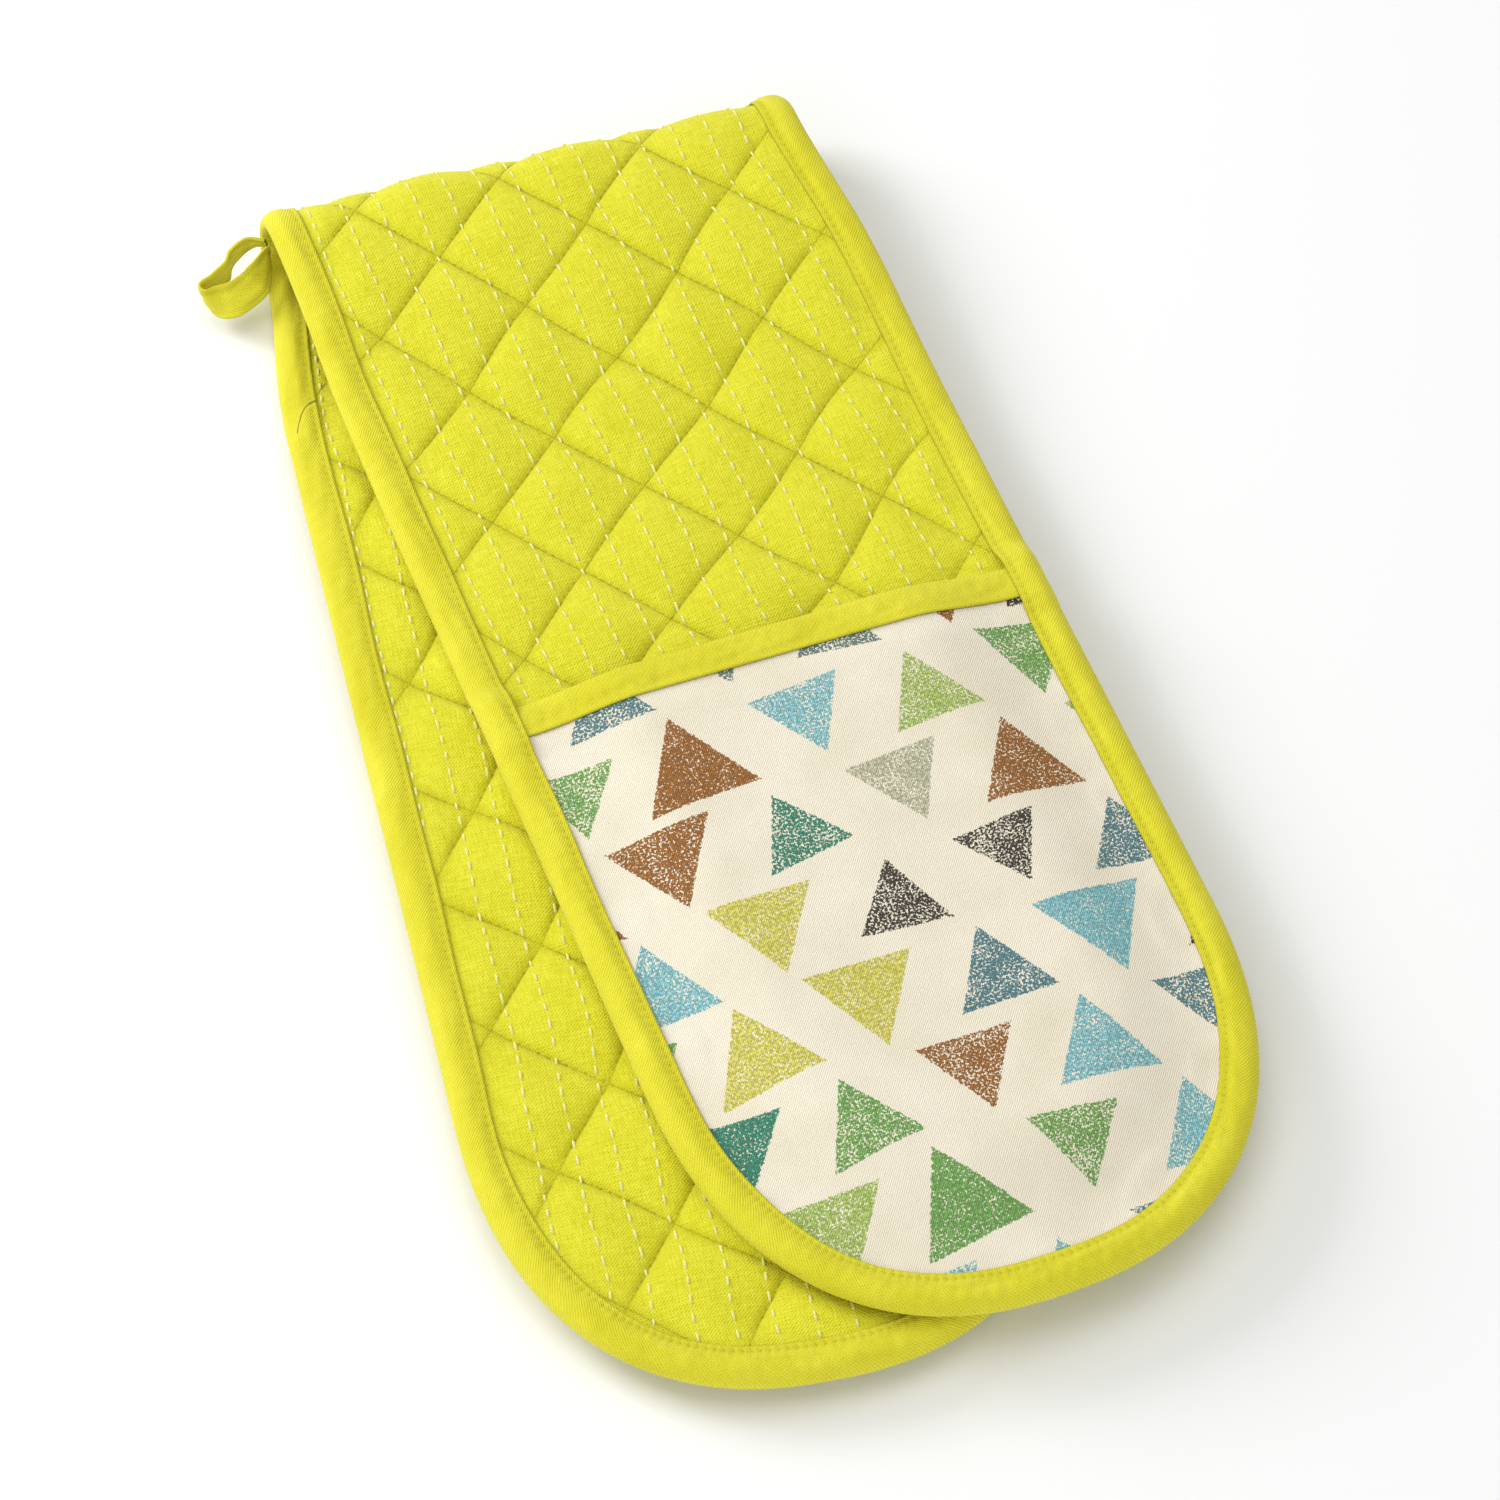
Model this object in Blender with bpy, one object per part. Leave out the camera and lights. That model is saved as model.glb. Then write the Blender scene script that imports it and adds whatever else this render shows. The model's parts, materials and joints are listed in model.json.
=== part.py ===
"""Double oven glove: one long quilted strip with a pocket for each hand,
lying folded in half with the hanging loop at the left end of the fold.

The strip is drawn flat and then placed. A flat point has u across the strip,
s along it from its middle (the upper half's side is positive), and a height
off the inner face. Placing it bends the middle of the strip round the fold and
lays the two halves over each other.
"""

import bpy
import bmesh
import numpy as np
from math import ceil, cos, pi, radians, sin
from mathutils import Vector
from mathutils.geometry import delaunay_2d_cdt

# Driving dimensions, in metres
STRIP_LENGTH = 0.900
STRIP_WIDTH = 0.180
END_DEPTH = 0.107
END_ROUNDNESS = 2.33
SPLAY = radians(4.8)
POCKET_MOUTH = 0.211

# Thickness of each layer
FACE_CLOTH = 0.0007
WADDING = 0.0044
EDGE_WADDING = 0.0012
LINING_CLOTH = 0.0005
POCKET_WADDING = 0.0016
POCKET_EDGE_WADDING = 0.0006
PRINT_CLOTH = 0.0006
HAND_SPACE = 0.0054
LAYER_GAP = 0.0003

# Quilting: two families of stitched lines that cross in diamonds
QUILT_SIDE_A = 0.0368
QUILT_SIDE_B = 0.0334
QUILT_ANGLE_A = radians(-38)
QUILT_ANGLE_B = radians(54)
QUILT_START_ACROSS = -0.0122
QUILT_START_ALONG = 0.0148
OUTER_SINK = 0.0022
INNER_SINK = 0.0012

# Bindings
EDGE_BINDING_WIDTH = 0.0115
EDGE_TAPE = 0.0010
MOUTH_BINDING_WIDTH = 0.0120
MOUTH_TAPE = 0.0007
MOUTH_BEND_SHARE = 1.6
BINDING_ROUND = 0.0028
PANEL_INSET = 0.0025

# How far in from the edge the panel and the pocket reach their full height
PANEL_RAMP = 0.010
POCKET_RAMP = 0.014
MOUTH_RAMP = 0.008

# The fold
FOLD_INNER_RADIUS = 0.008
FOLD_SETTLE_LENGTH = 0.120
HALF_GAP = 0.00015
HINGE_OUT = 0.0076

# Hanging loop: folded tape, standing on edge
LOOP_TAPE_WIDTH = 0.0095
LOOP_TAPE_THICKNESS = 0.0014
LOOP_REACH = 0.0186
LOOP_SPREAD = 0.0175
LOOP_SIDE_GAP = 0.0011
LOOP_LEAN = radians(35)
LOOP_DROOP = radians(15)

# How far up a pocket's rising side each ring of its plan lies
POCKET_RING_SHARES = (0, 0.3, 0.6, 1)

# A diamond is puffed where its middle lies this share of the ramp inside it
DIAMOND_MARGIN_SHARE = 0.25

# Counts that set how fine the solids are
END_STEPS = 24
SETTLE_STEPS = 7
FOLD_STEPS = 8
LOOP_STEPS = 3
SPARE_QUILT_LINES = 4

# Shares too small to matter, which keep sums and cuts safe
TINY_SHARE = 1e-9
SHORT_LINE_SHARE = 1e-3
MERGE_GAP_SHARE = 1 / 3

# Finishes: colour and roughness
LIME_CLOTH_FINISH = ((0.70, 0.68, 0.05), 0.90)
LIME_TWILL_FINISH = ((0.78, 0.74, 0.06), 0.85)
CREAM_PRINT_FINISH = ((0.86, 0.82, 0.72), 0.90)
CREAM_LINING_FINISH = ((0.88, 0.86, 0.80), 0.90)
WHITE_WADDING_FINISH = ((0.90, 0.89, 0.86), 0.95)
SHARP_ANGLE = radians(50)

# Worked out from the sizes above
HALF_WIDTH = STRIP_WIDTH / 2
HALF_LENGTH = STRIP_LENGTH / 2
END_START = HALF_LENGTH - END_DEPTH
PANEL = 2 * FACE_CLOTH + 2 * LAYER_GAP + WADDING
PANEL_EDGE = 2 * FACE_CLOTH + 2 * LAYER_GAP + EDGE_WADDING
EDGE_LOW = (PANEL - PANEL_EDGE) / 2
EDGE_HIGH = (PANEL + PANEL_EDGE) / 2
POCKET_FRONT = LINING_CLOTH + POCKET_WADDING + PRINT_CLOTH + 2 * LAYER_GAP
POCKET_EDGE = LINING_CLOTH + POCKET_EDGE_WADDING + PRINT_CLOTH + 2 * LAYER_GAP
GLOVE_HALF = PANEL + HAND_SPACE + POCKET_FRONT
LIP = EDGE_TAPE + LAYER_GAP
MOUTH_LIP = MOUTH_TAPE + LAYER_GAP
FLAT_BAND = EDGE_BINDING_WIDTH + 2 * LAYER_GAP
MOUTH_BAND = MOUTH_BINDING_WIDTH + 2 * LAYER_GAP
FOLD_ARC = (FOLD_INNER_RADIUS + PANEL / 2) * pi / 2
MIDDLE_HEIGHT = HALF_GAP + GLOVE_HALF
HALF_START = FOLD_ARC + LAYER_GAP / 2
FOLD_END = FOLD_ARC - LAYER_GAP / 2
HINGE_UP = FOLD_ARC - HINGE_OUT

QUILT_A = QUILT_SIDE_A * np.array([cos(QUILT_ANGLE_A), sin(QUILT_ANGLE_A)])
QUILT_B = QUILT_SIDE_B * np.array([cos(QUILT_ANGLE_B), sin(QUILT_ANGLE_B)])
QUILT_START = np.array([QUILT_START_ACROSS, QUILT_START_ALONG])
QUILT_BASIS = np.linalg.inv(np.array([QUILT_A, QUILT_B]).T)


# Shared shape functions

def smooth(x):
    """Eased step: 0 below 0, 1 above 1, level at both ends."""
    x = np.clip(x, 0, 1)
    return x * x * (3 - 2 * x)


def along_cut(u, t):
    """The s of a point that lies t from the fold line, measured square to it."""
    return (t + u * sin(SPLAY)) / cos(SPLAY)


def edge_distance(u, s):
    """How far in from the strip's edge a flat point lies."""
    across = np.maximum(np.abs(u), HALF_WIDTH * SHORT_LINE_SHARE)
    along = np.maximum(np.abs(s) - END_START, 0)
    across_part = (across / HALF_WIDTH) ** END_ROUNDNESS
    along_part = (along / END_DEPTH) ** END_ROUNDNESS
    total = across_part + along_part
    radius = (HALF_WIDTH * across_part + END_DEPTH * along_part) / total
    return (1 - total ** (1 / END_ROUNDNESS)) * radius


def seam_depth(u, s):
    """1 on a quilting line and 0 in the middle of a diamond."""
    start = QUILT_START.reshape(2, *([1] * np.ndim(u)))
    a, b = np.tensordot(QUILT_BASIS, np.stack([u, s]) - start, 1)
    return 1 - np.sqrt(np.abs(np.sin(pi * a) * np.sin(pi * b)))


def fold_rise(v):
    """How far the inner face stands off the middle plane, v away from the fold."""
    return FOLD_INNER_RADIUS + (HALF_GAP - FOLD_INNER_RADIUS) * smooth(v / FOLD_SETTLE_LENGTH)


# Heights above the inner face

def panel_levels(u, s):
    """Underside of the inner face and top of the outer face."""
    full = smooth((edge_distance(u, s) - FLAT_BAND) / PANEL_RAMP)
    seam = seam_depth(u, s)
    low = EDGE_LOW + (INNER_SINK * seam - EDGE_LOW) * full
    high = EDGE_HIGH + (PANEL - OUTER_SINK * seam - EDGE_HIGH) * full
    return low, high


def past_mouth(s):
    """0 under the mouth's binding, rising to 1 a little further in."""
    return smooth((np.abs(s) - POCKET_MOUTH - MOUTH_BAND) / MOUTH_RAMP)


def pocket_levels(u, s):
    """Underside of the pocket's lining and top of its print cloth."""
    full = smooth((edge_distance(u, s) - FLAT_BAND) / POCKET_RAMP)
    away = past_mouth(s)
    edge = EDGE_HIGH + LAYER_GAP + MOUTH_LIP * (1 - away)
    low = edge + (PANEL + HAND_SPACE - edge) * full
    high = low + POCKET_EDGE + (POCKET_FRONT - POCKET_EDGE) * full * away
    return low, high


def inner_face(u, s):
    low, high = panel_levels(u, s)
    return low, low + FACE_CLOTH


def outer_face(u, s):
    low, high = panel_levels(u, s)
    return high - FACE_CLOTH, high


def wadding(u, s):
    low, high = panel_levels(u, s)
    return low + FACE_CLOTH + LAYER_GAP, high - FACE_CLOTH - LAYER_GAP


def pocket_lining(u, s):
    low, high = pocket_levels(u, s)
    return low, low + LINING_CLOTH


def pocket_front(u, s):
    low, high = pocket_levels(u, s)
    return high - PRINT_CLOTH, high


def pocket_wadding(u, s):
    low, high = pocket_levels(u, s)
    return low + LINING_CLOTH + LAYER_GAP, high - PRINT_CLOTH - LAYER_GAP


# Outlines in the flat strip

def round_end(inset, steps=END_STEPS):
    """The rounded end from its right side to its left, drawn in by inset."""
    turn = np.linspace(0, pi, steps + 1)
    power = 2 / END_ROUNDNESS
    u = (HALF_WIDTH - inset) * np.sign(np.cos(turn)) * np.abs(np.cos(turn)) ** power
    s = END_START + (END_DEPTH - inset) * np.abs(np.sin(turn)) ** power
    return np.stack([u, s], 1)


def side_line(inset, side, stations):
    """Points down one straight side: the cut first, then level stations."""
    u = np.full(len(stations), side * (HALF_WIDTH - inset))
    return np.stack([u, np.array(stations, dtype=float)], 1)


def settle_stations():
    """The s of each step where the halves come together beside the fold."""
    return FOLD_ARC + FOLD_SETTLE_LENGTH * np.arange(1, SETTLE_STEPS + 1) / SETTLE_STEPS


def half_edge(inset, start, sign):
    """From the cut down one side of a half, round its end and back to the cut."""
    ends = []
    for side in (1, -1):
        first = start(side * (HALF_WIDTH - inset))
        ends.append(side_line(inset, side, [first] + [s for s in settle_stations() if s > first]))
    return sign * np.concatenate([ends[0], round_end(inset), ends[1][::-1]])


def fold_cut(u):
    """Where a half begins, beside the folded middle."""
    return along_cut(u, HALF_START)


def mouth_cut(u):
    """Where the pocket's layers begin, inside the mouth's binding."""
    return POCKET_MOUTH + MOUTH_TAPE + LAYER_GAP


def fold_row(inset, t):
    """The two ends of a row across the folded middle."""
    across = HALF_WIDTH - inset
    return np.array([(side * across, along_cut(side * across, t)) for side in (-1, 1)])


def fold_steps():
    return np.linspace(-FOLD_END, FOLD_END, FOLD_STEPS + 1)


def fold_edge(inset):
    """The folded middle's border, with a point at each step of the bend."""
    rows = np.array([fold_row(inset, t) for t in fold_steps()])
    return np.concatenate([rows[:, 1], rows[::-1, 0]])


def turning(border):
    """1 where the border runs anticlockwise, and -1 where it runs clockwise."""
    after = np.roll(border, -1, axis=0)
    return np.sign(np.sum(border[:, 0] * after[:, 1] - border[:, 1] * after[:, 0]))


def clip_line(start, end, border):
    """The part of a line that lies inside a convex border, or None."""
    low, high = 0.0, 1.0
    run = end - start
    turn = turning(border)
    for a, b in zip(border, np.roll(border, -1, axis=0)):
        side = b - a
        inward = np.array([-side[1], side[0]]) * turn
        ahead = inward @ run
        depth = inward @ (start - a)
        if abs(ahead) < TINY_SHARE * np.hypot(*side) * np.hypot(*run):
            continue
        cross = -depth / ahead
        if ahead > 0:
            low = max(low, cross)
        else:
            high = min(high, cross)
    if high - low < SHORT_LINE_SHARE:
        return None
    return start + run * low, start + run * high


def quilt_reach():
    """How many quilting lines it takes to cover the strip on each side of the first."""
    return 2 * ceil(HALF_LENGTH / min(QUILT_SIDE_A, QUILT_SIDE_B)) + SPARE_QUILT_LINES


def quilt_lines(border):
    """Every quilting line inside the border."""
    reach = quilt_reach()
    lines = []
    for one, other in ((QUILT_A, QUILT_B), (QUILT_B, QUILT_A)):
        for k in range(-reach, reach + 1):
            middle = QUILT_START + k * other
            ends = clip_line(middle - reach * one, middle + reach * one, border)
            if ends is not None:
                lines.append(np.array(ends))
    return lines


def diamond_middles(border):
    """The middle of each diamond that lies inside the border."""
    reach = quilt_reach()
    middles = []
    for i in range(-reach, reach + 1):
        for j in range(-reach, reach + 1):
            point = QUILT_START + (i + 0.5) * QUILT_A + (j + 0.5) * QUILT_B
            if inside(point, border, PANEL_RAMP * DIAMOND_MARGIN_SHARE):
                middles.append(point)
    return middles


def inside(point, border, margin):
    """Whether a point lies inside a convex border by at least the margin."""
    side = np.roll(border, -1, axis=0) - border
    length = np.hypot(side[:, 0], side[:, 1])
    cross = side[:, 0] * (point[1] - border[:, 1]) - side[:, 1] * (point[0] - border[:, 0])
    return np.all(cross * turning(border) > margin * length)


def has_area(corners):
    """Whether a flat triangle is more than three points in a row."""
    side = np.roll(corners, -1, axis=0) - corners
    longest = np.max(np.hypot(side[:, 0], side[:, 1]))
    return abs(side[0, 0] * side[1, 1] - side[0, 1] * side[1, 0]) > SHORT_LINE_SHARE * LAYER_GAP * longest


def triangulate(border, lines, points):
    """Triangles that fill the border and keep every line as an edge."""
    places = [tuple(p) for p in border]
    edges = [(i, (i + 1) % len(border)) for i in range(len(border))]
    for line in lines:
        first = len(places)
        places += [tuple(p) for p in line]
        edges += [(first + i, first + i + 1) for i in range(len(line) - 1)]
    places += [tuple(p) for p in points]
    found = delaunay_2d_cdt(places, edges, [], 1, LAYER_GAP * MERGE_GAP_SHARE, False)
    flat = np.array([tuple(p) for p in found[0]])
    return flat, [tuple(face) for face in found[2] if has_area(flat[list(face)])]


# From the flat strip to the folded glove

def place(u, s, height):
    """World places of flat points: bent round the fold, then straight on."""
    x = u * cos(SPLAY) + s * sin(SPLAY)
    t = s * cos(SPLAY) - u * sin(SPLAY)
    bend = np.clip(t / FOLD_ARC, -1, 1) * pi / 2
    beyond = np.maximum(np.abs(t) - FOLD_ARC, 0)
    off = fold_rise(beyond) + height
    return np.stack([x, FOLD_Y - beyond + off * np.cos(bend), MIDDLE_HEIGHT + off * np.sin(bend)], -1)


def tip_distance():
    """How far the rounded end reaches from the fold's middle line, square to it."""
    edge = round_end(0, 40 * END_STEPS)
    return np.max(edge[:, 1] * cos(SPLAY) - edge[:, 0] * sin(SPLAY)) - FOLD_ARC


FOLD_Y = (tip_distance() - FOLD_INNER_RADIUS - EDGE_HIGH - LIP) / 2


# Making objects

def cloth(name, finish):
    colour, roughness = finish
    material = bpy.data.materials.new(name)
    material.use_nodes = True
    shader = material.node_tree.nodes["Principled BSDF"]
    shader.inputs["Base Color"].default_value = (*colour, 1)
    shader.inputs["Roughness"].default_value = roughness
    shader.inputs["Metallic"].default_value = 0
    material.diffuse_color = (*colour, 1)
    return material


def joint_axis(name, place, parent=None):
    """An empty on a joint's axis, which carries the pieces that turn about it."""
    empty = bpy.data.objects.new(name, None)
    bpy.context.collection.objects.link(empty)
    empty.parent = parent
    empty.location = Vector(place) - (Vector(parent["axis_place"]) if parent else Vector())
    empty["axis_place"] = tuple(place)
    return empty


def make_object(name, mesh_data, material, carrier=None):
    """A closed mesh whose faces point out, with its origin at its carrier's."""
    verts, faces = mesh_data
    origin = np.array(carrier["axis_place"]) if carrier else np.zeros(3)
    mesh = bpy.data.meshes.new(name)
    bm = bmesh.new()
    corners = [bm.verts.new(tuple(v - origin)) for v in verts]
    for face in faces:
        bm.faces.new([corners[i] for i in face])
    bm.normal_update()
    bmesh.ops.triangulate(bm, faces=[f for f in bm.faces if len(f.verts) > 4])
    bmesh.ops.recalc_face_normals(bm, faces=bm.faces)
    if bm.calc_volume(signed=True) < 0:
        bmesh.ops.reverse_faces(bm, faces=bm.faces)
    bm.to_mesh(mesh)
    bm.free()
    mesh.shade_smooth()
    mesh.set_sharp_from_angle(angle=SHARP_ANGLE)
    mesh.materials.append(material)
    obj = bpy.data.objects.new(name, mesh)
    obj.parent = carrier
    bpy.context.collection.objects.link(obj)
    return obj


def layer(plan, levels):
    """A closed layer: the plan at its lower level and again at its upper one."""
    flat, triangles = plan
    u, s = flat[:, 0], flat[:, 1]
    low, high = levels(u, s)
    verts = np.concatenate([place(u, s, low), place(u, s, high)])
    count = len(flat)
    faces = [tuple(reversed(face)) for face in triangles]
    faces += [tuple(i + count for i in face) for face in triangles]
    seen = {(a, b) for face in triangles for a, b in zip(face, face[1:] + face[:1])}
    for a, b in seen:
        if (b, a) not in seen:
            faces.append((a, b, b + count, a + count))
    return verts, sorted(faces)


def tube(rings):
    """Skin over a row of equal rings, with a face closing each end."""
    count, sides, _ = rings.shape
    verts = rings.reshape(-1, 3)
    faces = []
    for i in range(count - 1):
        for j in range(sides):
            k = (j + 1) % sides
            faces.append((i * sides + j, i * sides + k, (i + 1) * sides + k, (i + 1) * sides + j))
    faces.append(tuple(range(sides)))
    faces.append(tuple(range((count - 1) * sides, count * sides)))
    return verts, faces


def binding_section(width, tape, low, high):
    """Folded tape round an edge: distance in from the edge, and height."""
    middle = (low + high) / 2
    round_in = BINDING_ROUND
    corner = round_in * (1 - sin(pi / 4))
    drop = (high - low) / 2 * (1 - sin(pi / 4))
    inset = [width, round_in, corner, 0, corner, round_in, width, width, PANEL_INSET - LAYER_GAP]
    inset += [PANEL_INSET - LAYER_GAP, width]
    height = [high, high, high - drop, middle, low + drop, low, low, low + tape, low + tape]
    height += [high - tape, high - tape]
    return np.array(inset), np.array(height)


# The quilted panel

def half_plan(sign):
    """Plan of the panel's layers in one half, cut along its quilting lines."""
    border = half_edge(PANEL_INSET, fold_cut, sign)
    flat_ring = half_edge(FLAT_BAND, fold_cut, sign)
    full_ring = half_edge(FLAT_BAND + PANEL_RAMP, fold_cut, sign)
    lines = [flat_ring, full_ring] + quilt_lines(flat_ring)
    return triangulate(border, lines, diamond_middles(full_ring))


def fold_plan():
    """Plan of the panel's layers round the fold, in rows across it."""
    flat_ring = fold_edge(FLAT_BAND)
    lines = [fold_row(PANEL_INSET, t) for t in fold_steps()[1:-1]]
    for inset in (FLAT_BAND, FLAT_BAND + PANEL_RAMP):
        ring = fold_edge(inset)
        lines += [ring[:FOLD_STEPS + 1], ring[FOLD_STEPS + 1:]]
    lines += quilt_lines(flat_ring)
    return triangulate(fold_edge(PANEL_INSET), lines, [])


def make_panel(part, plan, carrier):
    make_object(part + "_inner_face", layer(plan, inner_face), lime_cloth, carrier)
    make_object(part + "_wadding", layer(plan, wadding), white_wadding, carrier)
    make_object(part + "_outer_face", layer(plan, outer_face), lime_cloth, carrier)


# The hand pockets

def pocket_plan(sign):
    """Plan of a pocket's layers, with a ring at each step of its rising sides."""
    lines = []
    for share in POCKET_RING_SHARES:
        lines.append(half_edge(FLAT_BAND + POCKET_RAMP * share, mouth_cut, sign))
    across = HALF_WIDTH - PANEL_INSET
    for s in (POCKET_MOUTH + MOUTH_BAND, POCKET_MOUTH + MOUTH_BAND + MOUTH_RAMP):
        lines.append(sign * np.array([(-across, s), (across, s)]))
    return triangulate(half_edge(PANEL_INSET, mouth_cut, sign), lines, [])


def make_pocket(part, sign, carrier):
    plan = pocket_plan(sign)
    make_object(part + "_pocket_lining", layer(plan, pocket_lining), cream_lining, carrier)
    make_object(part + "_pocket_wadding", layer(plan, pocket_wadding), white_wadding, carrier)
    make_object(part + "_pocket_front", layer(plan, pocket_front), cream_print, carrier)
    make_object(part + "_pocket_mouth_binding", mouth_binding(sign), lime_twill, carrier)


def mouth_binding(sign):
    """Tape folded over the pocket's mouth, its ends caught in the edge binding."""
    inset = np.array([PANEL_INSET, *(FLAT_BAND + POCKET_RAMP * np.array(POCKET_RING_SHARES))])
    nose_s = POCKET_MOUTH
    inner_s = POCKET_MOUTH + MOUTH_TAPE
    bend_s = POCKET_MOUTH + MOUTH_TAPE * MOUTH_BEND_SHARE
    end_s = POCKET_MOUTH + MOUTH_BINDING_WIDTH
    s = np.array([end_s, bend_s, nose_s, nose_s, bend_s, end_s, end_s, inner_s, inner_s, end_s])
    rings = []
    for u in np.concatenate([inset - HALF_WIDTH, HALF_WIDTH - inset[::-1]]):
        low, high = pocket_levels(u, POCKET_MOUTH)
        bottom, top = low - MOUTH_LIP, high + MOUTH_LIP
        under = bottom + MOUTH_TAPE
        over = top - MOUTH_TAPE
        height = np.array([top, top, over, under, bottom, bottom, under, under, over, over])
        rings.append(place(np.full(len(s), sign * u), sign * s, height))
    return tube(np.array(rings))


# The edge bindings

def edge_rise(s):
    """How much higher the edge is where the pocket's layers are caught in it."""
    start = POCKET_MOUTH - EDGE_BINDING_WIDTH - LAYER_GAP
    layers = POCKET_EDGE + LAYER_GAP + 2 * MOUTH_LIP * (1 - past_mouth(s))
    return layers * smooth((s - start) / EDGE_BINDING_WIDTH)


def edge_section(s):
    return binding_section(EDGE_BINDING_WIDTH, EDGE_TAPE, EDGE_LOW - LIP, EDGE_HIGH + LIP + edge_rise(s))


def side_rings(side, sign):
    """The binding's sections down one straight side of a half."""
    mouth = POCKET_MOUTH - LAYER_GAP
    stations = [*settle_stations(), mouth - EDGE_BINDING_WIDTH, mouth - EDGE_BINDING_WIDTH / 2, mouth]
    stations += [POCKET_MOUTH + MOUTH_BAND, POCKET_MOUTH + MOUTH_BAND + MOUTH_RAMP, END_START]
    inset, height = edge_section(0)
    u = side * (HALF_WIDTH - inset)
    rings = [place(sign * u, sign * fold_cut(u), height)]
    for s in stations:
        height = edge_section(s)[1]
        rings.append(place(sign * u, np.full(len(u), sign * s), height))
    return rings


def end_rings(sign):
    """The binding's sections round the end of a half."""
    edge = round_end(0)
    run = edge[2:] - edge[:-2]
    inward = np.stack([-run[:, 1], run[:, 0]], 1) / np.hypot(run[:, 0], run[:, 1])[:, None]
    inset, height = edge_section(HALF_LENGTH)
    rings = []
    for point, into in zip(edge[1:-1], inward):
        flat = sign * (point + inset[:, None] * into)
        rings.append(place(flat[:, 0], flat[:, 1], height))
    return rings


def edge_binding(sign):
    """One tape round three sides of a half, from cut to cut."""
    return tube(np.array(side_rings(1, sign) + end_rings(sign) + side_rings(-1, sign)[::-1]))


def fold_binding(side):
    """The stretch of tape that goes round the fold on one side."""
    inset, height = edge_section(0)
    u = side * (HALF_WIDTH - inset)
    return tube(np.array([place(u, along_cut(u, t), height) for t in fold_steps()]))


# The hanging loop

# Along the tape, from its far end round the tip to its near end: how far out from
# the pivot and how far along the fold it runs, its lean inwards, and its width
LOOP_OUT_SHARES = (-0.16, 0.11, 0.38, 0.51, 0.78, 1, 0.99, 0.82, 0.55, 0.17, -0.11, -0.28, -0.32)
LOOP_ALONG_SHARES = (0.37, 0.49, 0.32, 0.07, -0.05, -0.19, -0.39, -0.43, -0.49, -0.41, -0.31, -0.06, 0.23)
LOOP_LEAN_SHARES = (0.4, 0.4, 0.4, 0.4, 0.3, 0, 0.15, 0.7, 1, 1, 0.85, 0.4, 0)
LOOP_WIDTH_SHARES = (0.17, 0.6, 1, 1, 1, 1, 1, 1, 1, 1, 0.9, 0.5, 0.17)


def loop_route():
    """A smooth curve through the route's rows: x and y off the pivot, lean and half width."""
    points = np.stack([np.array(LOOP_OUT_SHARES) * -LOOP_REACH,
                       np.array(LOOP_ALONG_SHARES) * LOOP_SPREAD,
                       np.array(LOOP_LEAN_SHARES) * LOOP_LEAN,
                       np.array(LOOP_WIDTH_SHARES) * LOOP_TAPE_WIDTH / 2], 1)
    padded = np.concatenate([[2 * points[0] - points[1]], points, [2 * points[-1] - points[-2]]])
    route = []
    for i in range(1, len(padded) - 2):
        a, b, c, d = padded[i - 1:i + 3]
        for step in range(LOOP_STEPS):
            k = step / LOOP_STEPS
            route.append(0.5 * (2 * b + (c - a) * k + (2 * a - 5 * b + 4 * c - d) * k ** 2
                                + (3 * b - a - 3 * c + d) * k ** 3))
    route.append(points[-1])
    return np.array(route)


def loop_pivot():
    """Where the loop turns: just outside the binding at the left of the fold."""
    side = -HALF_WIDTH / cos(SPLAY)
    return np.array([side - LOOP_SIDE_GAP, FOLD_Y, MIDDLE_HEIGHT])


def hanging_loop(pivot):
    """The tape standing on edge along the route, leaning in and narrow at its ends."""
    route = loop_route()
    run = np.gradient(route[:, :2], axis=0)
    into = np.stack([-run[:, 1], run[:, 0]], 1) / np.hypot(run[:, 0], run[:, 1])[:, None]
    rings = []
    for (x, y, lean, half), (into_x, into_y) in zip(route, into):
        ring = []
        for over, above in ((-1, -1), (1, -1), (1, 1), (-1, 1)):
            thick = over * LOOP_TAPE_THICKNESS / 2
            inwards = thick * cos(lean) + above * half * sin(lean)
            out, up = x + into_x * inwards, above * half * cos(lean) - thick * sin(lean)
            ring.append((out * cos(LOOP_DROOP) - up * sin(LOOP_DROOP), y + into_y * inwards,
                         out * sin(LOOP_DROOP) + up * cos(LOOP_DROOP)))
        rings.append(np.array(ring) + pivot)
    return tube(np.array(rings))


# Assembly

for obj in list(bpy.data.objects):
    bpy.data.objects.remove(obj, do_unlink=True)

lime_cloth = cloth("lime_cloth", LIME_CLOTH_FINISH)
lime_twill = cloth("lime_twill", LIME_TWILL_FINISH)
cream_print = cloth("cream_print", CREAM_PRINT_FINISH)
cream_lining = cloth("cream_lining", CREAM_LINING_FINISH)
white_wadding = cloth("white_wadding", WHITE_WADDING_FINISH)

fold_axis = joint_axis("fold_axis", (0, FOLD_Y + HINGE_OUT, MIDDLE_HEIGHT - HINGE_UP))
upper_axis = joint_axis("upper_axis", (0, FOLD_Y + HINGE_OUT, MIDDLE_HEIGHT + HINGE_UP), fold_axis)
loop_axis = joint_axis("loop_axis", loop_pivot(), fold_axis)

for part_name, half_sign, half_carrier in (("lower", -1, None), ("upper", 1, upper_axis)):
    make_panel(part_name, half_plan(half_sign), half_carrier)
    make_pocket(part_name, half_sign, half_carrier)
    make_object(part_name + "_edge_binding", edge_binding(half_sign), lime_twill, half_carrier)

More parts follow.
